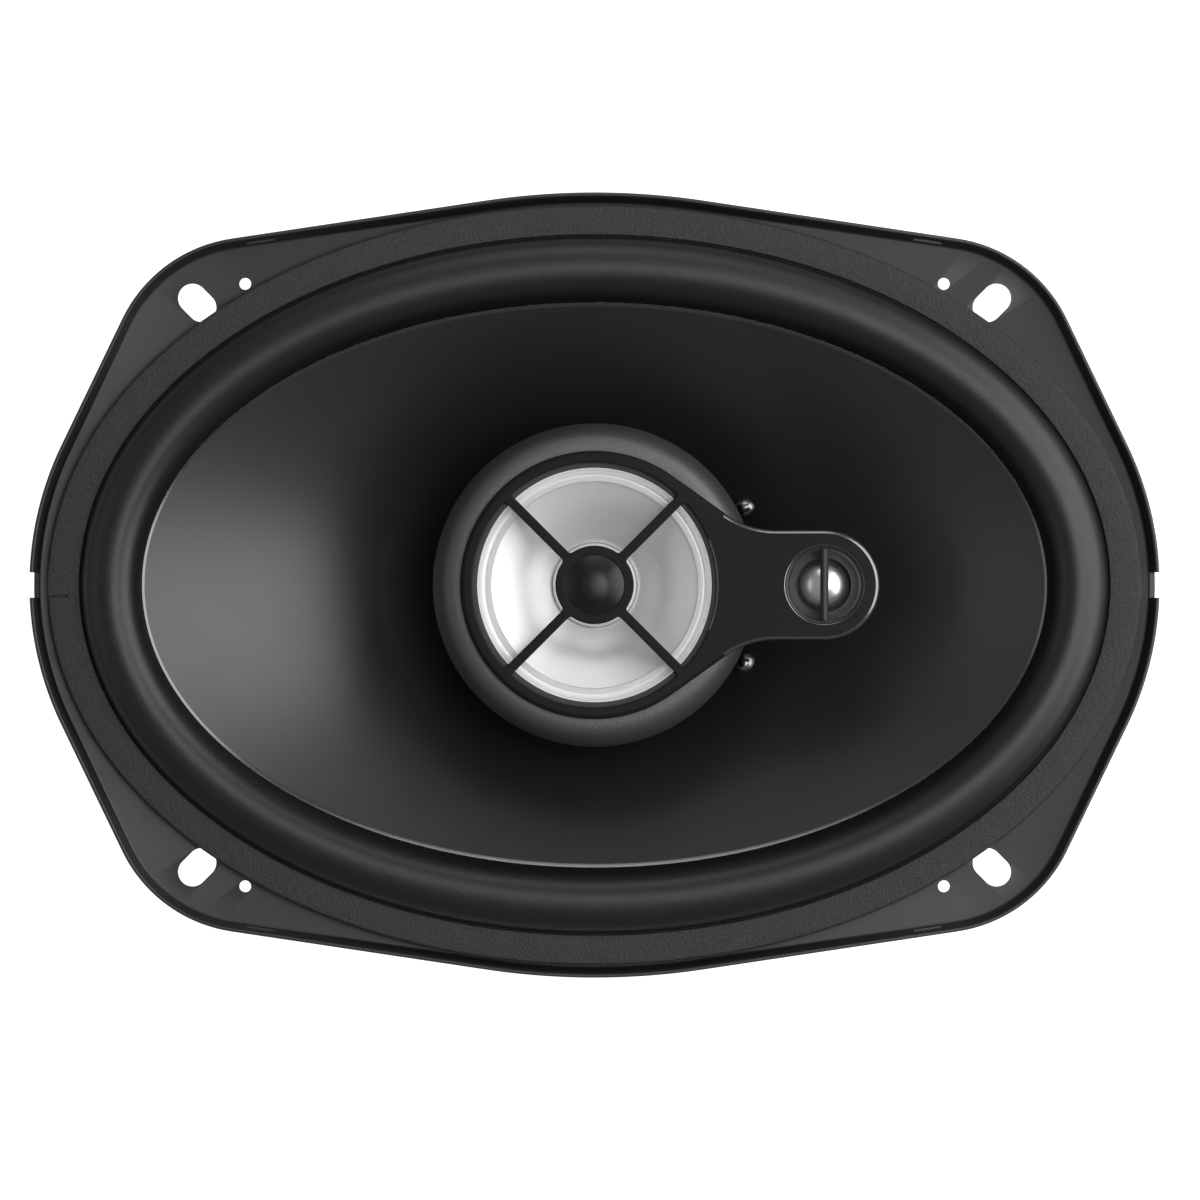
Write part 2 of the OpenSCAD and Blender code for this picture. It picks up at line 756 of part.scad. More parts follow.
// Rolled edge of the silver diaphragm, sagging between its two rims
module mid_surround() {
    t = 0.3;
    rim_z = mid_edge_z + 0.2;
    r1 = mid_edge_r + gap;
    r2 = mid_roll_r - gap;
    line = concat(
        [for (i = [0 : 12]) [r1 + (r2 - r1) * i / 12, rim_z - 1.1 * sin(180 * i / 12)]],
        [[r2 + 0.1, plate_back_z - 0.6 + t / 2 + gap], [mid_seat_r - 0.2, plate_back_z - 0.6 + t / 2 + gap]]
    );
    color("#c9cacc") turned(concat(
        [for (p = line) p - [0, t / 2]],
        [for (i = [len(line) - 1 : -1 : 0]) line[i] + [0, t / 2]]
    ));
}

// Height of the midrange cone's front at radius r
function mid_cone_z(r) =
    let (u = (r - mid_neck_r) / (mid_edge_r - mid_neck_r))
    mid_neck_z + (mid_edge_z - mid_neck_z) * pow(max(u, 0), 0.8);

module mid_cone() {
    t = 0.4;
    steps = 14;
    radii = [for (i = [0 : steps]) mid_neck_r + (mid_edge_r - mid_neck_r) * i / steps];
    color("#d6d7d9") turned(concat(
        [for (r = radii) [r, mid_cone_z(r) - t]],
        [for (i = [steps : -1 : 0]) [radii[i], mid_cone_z(radii[i])]]
    ));
}

// Stepped ring between the cone's neck and the dust cap
module mid_collar() {
    z = mid_neck_z;
    r_in = mid_coil_r + 0.2;
    r_out = mid_neck_r - gap;
    color("#e0e1e3") turned([
        [r_in, z - 0.6], [r_out, z - 0.6], [r_out, z + 0.2],
        [mid_neck_r - 0.5, z + 0.9], [mid_neck_r - 1, z + 0.3], [mid_neck_r - 1.5, z + 0.8], [r_in, z + 0.2]
    ]);
}

module mid_dust_cap() {
    base_z = mid_neck_z + 0.25;
    r = mid_coil_r + 0.1;
    rise = 1.5;
    ball_r = (r * r + rise * rise) / (2 * rise);
    color("#2b2b2e") translate([0, 0, base_z + rise - ball_r]) difference() {
        intersection() {
            sphere(r = ball_r);
            translate([0, 0, ball_r - rise]) cylinder(h = rise + 1, r = r);
        }
        sphere(r = ball_r - 0.4);
    }
}

module mid_former() {
    color("#d9b36a") washer(mid_coil_r + 0.15, mid_coil_r, mid_neck_z - 9, 8.9);
}

module mid_coil() {
    color("#b5702f") washer(mid_coil_r + 0.7, mid_coil_r + 0.15, mid_neck_z - 8.5, 4.5);
}

module mid_capacitor() {
    color("#27405e") translate([-8, 0, -16.8]) rotate([90, 0, 0]) cylinder(h = 14, r = 3, center = true);
}

module tweeter_capacitor() {
    color("#27405e") translate([8, 0, -16.8]) rotate([90, 0, 0]) cylinder(h = 12, r = 2.7, center = true);
}

// ---------- tweeter ----------

// Funnel round the dome with the upright phase bar across it
module tweeter_faceplate() {
    r = recess_r - gap;
    seat = dome_z + 0.4;
    bar = 1.7;
    bar_t = 1.1;
    bevel = 0.7;
    color("#3a3a3c") at_tweeter() {
        turned([
            [dome_r + 0.25, seat], [r, seat], [r, front_z], [r - 0.2, front_z],
            [r - 0.5, front_z - 1.2], [dome_r + 0.25, seat + 1.2]
        ]);
        difference() {
            translate([-bar / 2, -r + 0.2, front_z - bar_t]) cube([bar, 2 * r - 0.4, bar_t]);
            for (side = [-1, 1])
                translate([side * bar / 2, 0, front_z])
                    rotate([0, 45, 0]) cube([bevel, 2 * r, bevel], center = true);
        }
    }
}

module tweeter_pot() {
    color("#9a9ca1") at_tweeter() difference() {
        union() {
            translate([0, 0, tweeter_pot_z]) cylinder(h = 4.2, r = 6.9);
            translate([0, 0, dome_z - 1.1]) cylinder(h = 0.8, r = recess_r - 0.2);
        }
        translate([0, 0, tweeter_pot_z + 0.9]) cylinder(h = 6, r = tweeter_coil_r + 0.7);
    }
}

module tweeter_magnet() {
    color("#b9bbbe") at_tweeter()
        translate([0, 0, tweeter_pot_z + 0.9]) cylinder(h = 1.8, r = tweeter_coil_r - 0.5);
}

module tweeter_pole_plate() {
    color("#9a9ca1") at_tweeter()
        translate([0, 0, tweeter_pot_z + 2.7]) cylinder(h = 1.2, r = tweeter_coil_r - 0.3);
}

module tweeter_surround() {
    t = 0.2;
    r1 = dome_r + gap;
    r2 = recess_r - 0.3;
    line = [for (i = [0 : 8]) [r1 + (r2 - r1) * i / 8, dome_z + 0.1 - 0.25 * sin(min(i, 4) * 45)]];
    color("#8f9093") at_tweeter() turned(concat(
        [for (p = line) p - [0, t / 2]],
        [for (i = [len(line) - 1 : -1 : 0]) line[i] + [0, t / 2]]
    ));
}

module tweeter_dome() {
    ball_r = (dome_r * dome_r + dome_h * dome_h) / (2 * dome_h);
    color("#d8d9dc") at_tweeter() translate([0, 0, dome_z + dome_h - ball_r]) difference() {
        intersection() {
            sphere(r = ball_r);
            translate([0, 0, ball_r - dome_h]) cylinder(h = dome_h + 1, r = dome_r + 1);
        }
        sphere(r = ball_r - 0.3);
    }
}

module tweeter_coil() {
    color("#b5702f") at_tweeter() washer(tweeter_coil_r + 0.4, tweeter_coil_r, dome_z - 2.9, 2.9);
}

// ---------- woofer's moving parts ----------

// The cone's front at fraction s of the way from neck to edge, in direction t, raised by lift
function cone_rx_at(s) = neck_r + (cone_rx - neck_r) * s;
function cone_ry_at(s) = neck_r + (cone_ry - neck_r) * s;
function cone_z(s) = neck_z + cone_depth * pow(s, cone_power);
function cone_ring(s, lift) = oval(cone_rx_at(s), cone_ry_at(s), cone_z(s) + lift);
function cone_point(s, t, lift) = [cone_rx_at(s) * cos(t), cone_ry_at(s) * sin(t), cone_z(s) + lift];

module cone() {
    stations = [1, 0.8, 0.6, 0.42, 0.27, 0.14, 0.05, 0];
    glue_r = former_r + former_t + 0.02;
    color("#232325") band([
        for (s = stations) cone_ring(s, 0),
        oval(glue_r, glue_r, neck_z),
        oval(glue_r, glue_r, neck_z - 3),
        oval(neck_r + 0.3, neck_r + 0.3, neck_z - 3),
        for (i = [len(stations) - 2 : -1 : 0]) cone_ring(stations[i], -cone_t)
    ]);
}

module former() {
    foot_z = magnet_back_z + 11.5;
    color("#d9b36a") washer(former_r + former_t, former_r, foot_z, neck_z + 1 - foot_z);
}

module voice_coil() {
    inner_r = former_r + former_t;
    mid_gap_z = magnet_front_z + plate_t / 2;
    color("#b5702f") washer(inner_r + coil_t, inner_r, mid_gap_z - coil_h / 2, coil_h);
}

// Domes of solder and glue that go through the cone
module lead_joints() {
    color("#101012") for (side = [-1, 1])
        translate(cone_point(joint_s, side * joint_angle, -0.9)) sphere(r = joint_r);
}

// Thin wires up the cone's front from the former to the joints
module coil_leads() {
    color("#3a2a20") for (side = [-1, 1])
        wire([for (s = [0.03, 0.06, 0.1, 0.15, 0.2, 0.24]) cone_point(s, side * joint_angle, 0.75)], 0.3);
}

// ---------- what is drawn ----------

basket();
gasket();
surround();
spider();
top_plate();
magnet();
back_plate();
stake_rivets();
terminal_strip();
terminal_positive();
terminal_negative();
terminal_rivets();
lead_positive();
lead_negative();
centre_post();
post_nut();
pod_wires();
pod_housing();
tweeter_arm();
front_plate();
mid_frame();
mid_pot();
mid_magnet();
mid_pole_plate();
mid_surround();
mid_capacitor();
tweeter_capacitor();
tweeter_faceplate();
tweeter_pot();
tweeter_magnet();
tweeter_pole_plate();
tweeter_surround();
cone();
former();
voice_coil();
lead_joints();
coil_leads();
mid_cone();
mid_collar();
mid_dust_cap();
mid_former();
mid_coil();
tweeter_dome();
tweeter_coil();
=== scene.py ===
"""Oval coaxial car speaker seen from the front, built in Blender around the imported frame."""

import math

import bmesh
import bpy
import numpy as np
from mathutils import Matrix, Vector


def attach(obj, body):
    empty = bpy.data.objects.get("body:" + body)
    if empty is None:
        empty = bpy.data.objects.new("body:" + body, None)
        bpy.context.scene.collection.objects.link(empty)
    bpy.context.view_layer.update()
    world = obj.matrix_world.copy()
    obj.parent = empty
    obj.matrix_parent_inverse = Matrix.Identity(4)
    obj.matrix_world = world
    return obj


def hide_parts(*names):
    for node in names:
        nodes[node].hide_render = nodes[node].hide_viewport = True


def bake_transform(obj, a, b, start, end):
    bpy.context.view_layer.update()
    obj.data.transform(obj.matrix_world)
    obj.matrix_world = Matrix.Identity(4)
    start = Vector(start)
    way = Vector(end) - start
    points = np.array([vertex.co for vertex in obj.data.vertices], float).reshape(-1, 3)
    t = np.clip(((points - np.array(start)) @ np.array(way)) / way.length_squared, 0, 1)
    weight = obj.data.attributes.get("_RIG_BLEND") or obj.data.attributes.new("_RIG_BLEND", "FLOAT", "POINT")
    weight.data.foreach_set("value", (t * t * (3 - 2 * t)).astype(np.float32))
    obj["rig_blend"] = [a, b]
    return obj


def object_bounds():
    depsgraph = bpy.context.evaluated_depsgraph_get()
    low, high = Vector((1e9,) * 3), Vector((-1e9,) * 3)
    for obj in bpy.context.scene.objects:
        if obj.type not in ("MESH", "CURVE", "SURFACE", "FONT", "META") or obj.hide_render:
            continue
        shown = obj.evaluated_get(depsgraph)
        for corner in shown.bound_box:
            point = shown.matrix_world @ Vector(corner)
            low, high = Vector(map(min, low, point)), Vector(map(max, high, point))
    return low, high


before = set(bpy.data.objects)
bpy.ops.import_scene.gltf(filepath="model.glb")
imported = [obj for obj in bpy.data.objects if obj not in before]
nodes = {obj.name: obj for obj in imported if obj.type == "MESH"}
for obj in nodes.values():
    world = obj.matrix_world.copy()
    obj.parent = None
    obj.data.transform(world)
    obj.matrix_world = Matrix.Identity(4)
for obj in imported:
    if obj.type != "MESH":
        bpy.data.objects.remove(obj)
cad_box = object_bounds()
scene = bpy.context.scene
scene.view_settings.view_transform = "Standard"

MM = 0.001
TAU = 2 * math.pi

# Sizes in millimetres, the same as the frame's unless said. Levels are from the flange's back face.
FLANGE_W, FLANGE_H = 237.0, 164.7
END_R, CORNER_R, LONG_R = 67.4, 30.4, 153.6  # arcs of the flange's outline
CORNER = (71.66, 42.6)  # centre of a corner's arc
LIP_Z = 5.0
SLOT_AT, SLOT_W, SLOT_PITCH = (83.5, 59.3), 6.1, 2.8  # screw slots
PIN_AT, PIN_R = (73.4, 63.3), 1.25  # small holes
NOTCH_W = 5.3
GASKET = (114.6, 79.6)  # half width and half height of its outer edge
GASKET_Z = (1.8, 5.0)
ROLL = (108.0, 73.4)  # the surround's roll at its outer end
ROLL_H = 3.7  # flatter than the frame's roll, but on a raised outer foot: within 0.6 mm of it
ROLL_OUT_Z, ROLL_IN_Z = 4.4, 1.4  # levels of the roll's outer and inner foot
ROLL_IN = 0.7  # the roll's outer foot is this far inside the gasket
CONE = (94.5, 58.8)  # the cone at its edge
CONE_DEPTH = 40.4
EDGE_Z = 2.4
NECK_R, NECK_BORE_R = 15.9, 15.32
NECK_Z = EDGE_Z - CONE_DEPTH
SHELF_Z = -44.0
POD_R = 34.05
PLATE_BACK_Z, PLATE_Z = 9.0, 11.0
GUARD_R, GUARD_HOLE_R, ARM_HALF, ARM_BLEND = 28.0, 25.6, 11.55, 18.0  # front plate's outline
HUB_R, HUB_HOLE_R = 8.2, 6.2
TWEETER_X = 48.0
RECESS_R = 8.1
DOME_R = 5.45
MID_NECK_R, MID_CONE_R = 8.9, 21.6

ALL_SMOOTH = 181.0  # a bend that no edge reaches, in degrees


# ---------- meshes ----------

def add_object(name, mesh):
    piece = bpy.data.objects.new(name, mesh)
    scene.collection.objects.link(piece)
    return piece


def mesh_from(name, points, faces, sharp=40.0):
    """A mesh from points in millimetres, smooth except where it bends more than sharp degrees."""
    mesh = bpy.data.meshes.new(name)
    mesh.from_pydata([tuple(float(c) * MM for c in p) for p in points], [], faces)
    tidy_mesh(mesh, sharp)
    return mesh


def tidy_mesh(mesh, sharp):
    """Welds a mesh, turns its faces outwards and marks its sharp edges."""
    limit = math.radians(sharp)
    bm = bmesh.new()
    bm.from_mesh(mesh)
    bmesh.ops.remove_doubles(bm, verts=bm.verts, dist=1e-7)
    bmesh.ops.recalc_face_normals(bm, faces=bm.faces)
    for face in bm.faces:
        face.smooth = True
    for edge in bm.edges:
        edge.smooth = len(edge.link_faces) == 2 and edge.calc_face_angle(0.0) < limit
    bm.to_mesh(mesh)
    bm.free()


def place(name, mesh, body, slot, node=None, look=None, blend=None):
    """Makes a piece of a mesh: its material, the body or bodies that it follows, the node it stands for.
    blend is (the other body, weights), one weight for each vertex, from 0 on body to 1 on the other."""
    piece = add_object(name, mesh)
    mesh.materials.clear()
    mesh.materials.append(LOOKS[look or slot])
    if node:
        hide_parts(node)
    if blend is None:
        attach(piece, body)
        return
    other, weights = blend
    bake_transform(piece, body, other, start=(0, 0, 0), end=(0, 0, 1))
    mesh.attributes["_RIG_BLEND"].data.foreach_set("value", np.asarray(weights, np.float32))


def oval(rx, ry, z, n=360):
    t = np.arange(n) * TAU / n
    return np.stack([rx * np.cos(t), ry * np.sin(t), np.full(n, float(z))], axis=1)


def loft_faces(rings, n, closed):
    """Quads between rings of n points each; closed joins the last ring to the first."""
    faces = []
    for i in range(rings if closed else rings - 1):
        a, b = i * n, (i + 1) % rings * n
        for j in range(n):
            k = (j + 1) % n
            faces.append((a + j, a + k, b + k, b + j))
    return faces


def end_caps(count, n):
    """Two faces that close an open loft of count points, with n points a ring."""
    return [tuple(range(n)), tuple(range(count - n, count))[::-1]]


def loft(name, rings, sharp=40.0):
    """A closed band through rings of points, the last ring joined to the first."""
    return mesh_from(name, np.concatenate(rings), loft_faces(len(rings), len(rings[0]), True), sharp)


def lathe(name, profile, n=160, centre_x=0.0, sharp=40.0):
    """Turns a closed profile of (radius, z) about an upright axis. A radius of 0 closes on the axis."""
    shift = np.array([centre_x, 0.0, 0.0])
    return loft(name, [oval(r, r, z, n) + shift for r, z in profile], sharp)


def soften(section, steps=4):
    """The rings of a closed section with its corners rounded. The section is a list of (ring, reach), and
    reach says how far the rounding goes, 0 where the corner stays sharp."""
    made = []
    for i, (ring, far) in enumerate(section):
        if not far:
            made.append(ring)
            continue
        before, after = section[i - 1][0], section[(i + 1) % len(section)][0]
        to_before, to_after = before - ring, after - ring
        length_before = np.maximum(np.linalg.norm(to_before, axis=1), 1e-9)
        length_after = np.maximum(np.linalg.norm(to_after, axis=1), 1e-9)
        first = ring + to_before * np.minimum(far / length_before, 0.48)[:, None]
        last = ring + to_after * np.minimum(far / length_after, 0.48)[:, None]
        for k in range(steps + 1):
            u = k / steps
            made.append((1 - u) ** 2 * first + 2 * u * (1 - u) * ring + u * u * last)
    return made


def soften_profile(profile):
    """The same for a lathe's profile of (radius, z, reach)."""
    section = [(np.array([[r, 0.0, z]]), reach) for r, z, reach in profile]
    return [(p[0][0], p[0][2]) for p in soften(section)]


def sheet_profile(line, half):
    """A lathe's profile for a sheet along a line of (radius, z), half its thickness to each side."""
    return [(r, z - half) for r, z in line] + [(r, z + half) for r, z in reversed(line)]


def prism(outline, z0, z1):
    """An upright prism on a closed outline of (x, y)."""
    n = len(outline)
    points = [(x, y, z0) for x, y in outline] + [(x, y, z1) for x, y in outline]
    faces = [tuple(range(n))[::-1], tuple(range(n, 2 * n))]
    faces += [(i, (i + 1) % n, n + (i + 1) % n, n + i) for i in range(n)]
    return points, faces


def joined(parts):
    """Several (points, faces) as one."""
    points, faces = [], []
    for part_points, part_faces in parts:
        start = len(points)
        points += list(part_points)
        faces += [tuple(start + i for i in face) for face in part_faces]
    return points, faces


def evaluated_mesh(piece, name):
    """The piece's mesh with its modifiers applied; the piece itself is removed."""
    depsgraph = bpy.context.evaluated_depsgraph_get()
    mesh = bpy.data.meshes.new_from_object(piece.evaluated_get(depsgraph))
    mesh.name = name
    old = piece.data
    bpy.data.objects.remove(piece)
    bpy.data.meshes.remove(old)
    return mesh


def cut(mesh, cutters, name, sharp=35.0):
    """The mesh less the cutters, which are (points, faces) in millimetres."""
    body = add_object(name + "_body", mesh)
    knife = add_object(name + "_knife", mesh_from(name + "_knife", *joined(cutters)))
    modifier = body.modifiers.new("cut", "BOOLEAN")
    modifier.operation = "DIFFERENCE"
    modifier.solver = "EXACT"
    modifier.object = knife
    made = evaluated_mesh(body, name)
    knife_mesh = knife.data
    bpy.data.objects.remove(knife)
    bpy.data.meshes.remove(knife_mesh)
    tidy_mesh(made, sharp)
    return made


def tube_points(path, radius, sides):
    """Rings of a round tube along a path, with a frame carried along it without twist."""
    path = np.asarray(path, float)
    along = np.gradient(path, axis=0)
    along /= np.linalg.norm(along, axis=1)[:, None]
    side = np.cross(along[0], [0.0, 1.0, 0.3])
    side /= np.linalg.norm(side)
    rings = []
    for point, direction in zip(path, along):
        side = side - direction * (side @ direction)
        side /= np.linalg.norm(side)
        other = np.cross(direction, side)
        t = np.arange(sides) * TAU / sides
        ring = point + radius * (np.cos(t)[:, None] * side + np.sin(t)[:, None] * other)
        rings.append(ring)
    return rings


def points_of(mesh):
    """A mesh's vertices in millimetres."""
    co = np.zeros(len(mesh.vertices) * 3)
    mesh.vertices.foreach_get("co", co)
    return co.reshape(-1, 3) / MM


def ease(u):
    """0 below 0 and 1 above 1, smoothly between."""
    u = np.clip(u, 0, 1)
    return u * u * (3 - 2 * u)


def smooth_path(points, steps):
    """A path through given points with extra points between them."""
    points = np.asarray(points, float)
    made = []
    last = len(points) - 1
    for i in range(last):
        a, b = points[max(i - 1, 0)], points[i]
        c, d = points[i + 1], points[min(i + 2, last)]
        for k in range(steps):
            u = k / steps
            made.append(
                b + u * (c - a) / 2
                + u * u * (a - 2.5 * b + 2 * c - d / 2)
                + u ** 3 * ((d - a) / 2 + 1.5 * (b - c))
            )
    made.append(points[-1])
    return np.array(made)


# ---------- materials ----------

def texture(tree, coords, kind, scale):
    """The 0 to 1 output of a texture in the object's own metres."""
    made = tree.nodes
    if kind == "noise":
        node = made.new("ShaderNodeTexNoise")
        node.inputs["Scale"].default_value = scale
        node.inputs["Detail"].default_value = 3.0
        node.inputs["Roughness"].default_value = 0.6
        tree.links.new(coords, node.inputs["Vector"])
        return node.outputs["Fac"]
    if kind == "cells":
        node = made.new("ShaderNodeTexVoronoi")
        node.inputs["Scale"].default_value = scale
        tree.links.new(coords, node.inputs["Vector"])
        return node.outputs["Distance"]
    if kind == "weave":
        waves = []
        for direction in "XY":
            node = made.new("ShaderNodeTexWave")
            node.bands_direction = direction
            node.inputs["Scale"].default_value = scale
            node.inputs["Distortion"].default_value = 0.4
            tree.links.new(coords, node.inputs["Vector"])
            waves.append(node.outputs["Fac"])
        top = made.new("ShaderNodeMath")
        top.operation = "MAXIMUM"
        tree.links.new(waves[0], top.inputs[0])
        tree.links.new(waves[1], top.inputs[1])
        return top.outputs[0]
    node = made.new("ShaderNodeTexWave")
    if kind == "rings":
        node.wave_type = "RINGS"
        node.rings_direction = "Z"
        node.inputs["Distortion"].default_value = 0.6
    elif kind == "turns":
        node.bands_direction = "Z"
    elif kind == "twist":
        node.bands_direction = "DIAGONAL"
    node.inputs["Scale"].default_value = scale
    tree.links.new(coords, node.inputs["Vector"])
    return node.outputs["Fac"]


LOOKS = {}


def add_look(name, colour, roughness, metallic=0.0, specular=0.5, coat=0.0, sheen=0.0, ior=1.5,
             spots=("noise", 60.0, 0.12), worn=("noise", 300.0, 0.05), bumps=()):
    """A material with a mottled colour, a roughness that varies, and bumps of (kind, scale, height in mm).
    spots and worn are (kind, scale, share)."""
    material = bpy.data.materials.new(name)
    material.use_nodes = True
    tree = material.node_tree
    shade = tree.nodes["Principled BSDF"]
    shade.inputs["Metallic"].default_value = metallic
    shade.inputs["IOR"].default_value = ior
    shade.inputs["Specular IOR Level"].default_value = specular
    shade.inputs["Coat Weight"].default_value = coat
    shade.inputs["Coat Roughness"].default_value = 0.1
    shade.inputs["Sheen Weight"].default_value = sheen
    coords = tree.nodes.new("ShaderNodeTexCoord").outputs["Object"]
    kind, scale, share = spots
    mix = tree.nodes.new("ShaderNodeMix")
    mix.data_type = "RGBA"
    mix.inputs[6].default_value = (*[c * (1 - share) for c in colour], 1)
    mix.inputs[7].default_value = (*[c * (1 + share) for c in colour], 1)
    tree.links.new(texture(tree, coords, kind, scale), mix.inputs[0])
    tree.links.new(mix.outputs[2], shade.inputs["Base Color"])
    kind, scale, share = worn
    spread = tree.nodes.new("ShaderNodeMapRange")
    spread.inputs["To Min"].default_value = max(roughness - share, 0.02)
    spread.inputs["To Max"].default_value = min(roughness + share, 1.0)
    tree.links.new(texture(tree, coords, kind, scale), spread.inputs["Value"])
    tree.links.new(spread.outputs["Result"], shade.inputs["Roughness"])
    normal = None
    for kind, scale, height in bumps:
        bump = tree.nodes.new("ShaderNodeBump")
        bump.inputs["Strength"].default_value = 1.0
        bump.inputs["Distance"].default_value = height * MM
        tree.links.new(texture(tree, coords, kind, scale), bump.inputs["Height"])
        if normal is not None:
            tree.links.new(normal, bump.inputs["Normal"])
        normal = bump.outputs["Normal"]
    if normal is not None:
        tree.links.new(normal, shade.inputs["Normal"])
    LOOKS[name] = material


def grey(value, warm=0.0):
    return (value * (1 + warm), value, value * (1 - warm))


add_look("basket_paint", grey(0.024, -0.02), 0.34, specular=0.5,
    spots=("noise", 90.0, 0.1), bumps=(("noise", 500.0, 0.004), ("cells", 2600.0, 0.002)))
add_look("gasket_foam", grey(0.032), 0.62, specular=0.45,
    spots=("noise", 1300.0, 0.45), bumps=(("cells", 1700.0, 0.1), ("noise", 3000.0, 0.08)))
add_look("edge_rubber", grey(0.006), 0.38, specular=0.6,
    spots=("noise", 2200.0, 0.25), bumps=(("noise", 2300.0, 0.025), ("cells", 900.0, 0.006)))
add_look("spider_cloth", (0.5, 0.33, 0.1), 0.8, specular=0.3, sheen=0.3,
    spots=("weave", 260.0, 0.3), bumps=(("weave", 260.0, 0.22), ("noise", 2500.0, 0.03)))
add_look("plated_steel", (0.5, 0.51, 0.53), 0.34, metallic=1.0,
    spots=("noise", 45.0, 0.1), worn=("rings", 260.0, 0.08),
    bumps=(("rings", 420.0, 0.012), ("noise", 700.0, 0.006)))
add_look("ferrite", grey(0.045), 0.62, specular=0.5,
    spots=("noise", 800.0, 0.35), bumps=(("noise", 1400.0, 0.05), ("cells", 3000.0, 0.03)))
add_look("rivet_steel", (0.55, 0.56, 0.58), 0.3, metallic=1.0,
    bumps=(("noise", 900.0, 0.015),))
add_look("strip_board", (0.16, 0.075, 0.03), 0.55,
    spots=("noise", 500.0, 0.3), bumps=(("weave", 700.0, 0.02),))
add_look("tab_brass", (0.68, 0.55, 0.27), 0.3, metallic=1.0,
    spots=("noise", 300.0, 0.12), bumps=(("noise", 1500.0, 0.01),))
add_look("lead_copper", (0.6, 0.34, 0.2), 0.42, metallic=0.9,
    spots=("twist", 1100.0, 0.35), bumps=(("twist", 1100.0, 0.12),))
add_look("wire_red", (0.3, 0.025, 0.02), 0.45, bumps=(("noise", 1200.0, 0.02),))
add_look("post_plastic", grey(0.03), 0.5, bumps=(("noise", 1800.0, 0.02),))
add_look("pod_plastic", grey(0.03), 0.5, specular=0.9, ior=1.7,
    spots=("noise", 2600.0, 0.3), bumps=(("noise", 2400.0, 0.05), ("cells", 2000.0, 0.03)))
add_look("arm_plastic", grey(0.02), 0.5, bumps=(("noise", 2400.0, 0.02),))
add_look("plate_plastic", grey(0.011), 0.55, specular=0.15,
    spots=("noise", 1200.0, 0.08), bumps=(("noise", 3000.0, 0.012),))
add_look("plate_edge", grey(0.012), 0.2, specular=1.0, ior=1.9,
    spots=("noise", 1200.0, 0.08), bumps=(("noise", 3000.0, 0.003),))
add_look("mid_steel", (0.4, 0.41, 0.43), 0.36, metallic=1.0,
    bumps=(("rings", 500.0, 0.01),))
add_look("small_magnet", (0.6, 0.6, 0.62), 0.25, metallic=1.0,
    bumps=(("noise", 600.0, 0.01),))
add_look("silver_film", (0.86, 0.865, 0.87), 0.42, metallic=0.5,
    spots=("noise", 1800.0, 0.07), worn=("noise", 900.0, 0.05), bumps=(("noise", 2600.0, 0.02),))
add_look("capacitor_sleeve", (0.03, 0.07, 0.15), 0.3,
    bumps=(("noise", 300.0, 0.03),))
add_look("funnel_plastic", grey(0.02), 0.4, bumps=(("noise", 2600.0, 0.02),))
add_look("dome_edge", grey(0.1), 0.6, bumps=(("weave", 1500.0, 0.02),))
add_look("cone_poly", grey(0.011), 0.4, specular=0.5, ior=1.8,
    spots=("noise", 30.0, 0.12), worn=("noise", 120.0, 0.02), bumps=(("noise", 2400.0, 0.002),))
add_look("former_paper", (0.5, 0.33, 0.12), 0.5, bumps=(("turns", 300.0, 0.01),))
add_look("coil_copper", (0.55, 0.22, 0.08), 0.28, metallic=0.9,
    spots=("turns", 620.0, 0.2), bumps=(("turns", 620.0, 0.1),))
add_look("joint_glue", grey(0.25), 0.22, metallic=1.0, coat=1.0,
    bumps=(("noise", 500.0, 0.06),))
add_look("cap_dark", grey(0.008, -0.03), 0.33, specular=0.5,
    spots=("noise", 900.0, 0.2), bumps=(("noise", 2200.0, 0.02),))
add_look("dome_metal", (0.85, 0.86, 0.88), 0.3, metallic=1.0,
    spots=("noise", 200.0, 0.03), worn=("noise", 400.0, 0.02), bumps=(("noise", 200.0, 0.003),))
add_look("cone_edge", grey(0.16), 0.22, metallic=1.0,
    bumps=(("noise", 1500.0, 0.01),))
add_look("seam_glue", grey(0.14), 0.4, spots=("noise", 700.0, 0.5),
    bumps=(("noise", 1500.0, 0.1),))


# ---------- the flange's outline ----------

def ray_to_circle(c, r, t):
    """Radius in the directions t of a circle with centre c and radius r."""
    along = c[0] * np.cos(t) + c[1] * np.sin(t)
    return along + np.sqrt(r * r - c[0] ** 2 - c[1] ** 2 + along * along)


def ray_to_tangent(c, r, n, t):
    """The same for the line that touches the circle in the direction n."""
    return (c[0] * math.cos(n) + c[1] * math.sin(n) + r) / np.cos(n - t)


def shared_tangent(c1, r1, c2, r2):
    """Direction of the line that touches two circles on their outer side."""
    dx, dy = c2[0] - c1[0], c2[1] - c1[1]
    return math.atan2(dy, dx) - math.acos((r1 - r2) / math.hypot(dx, dy))


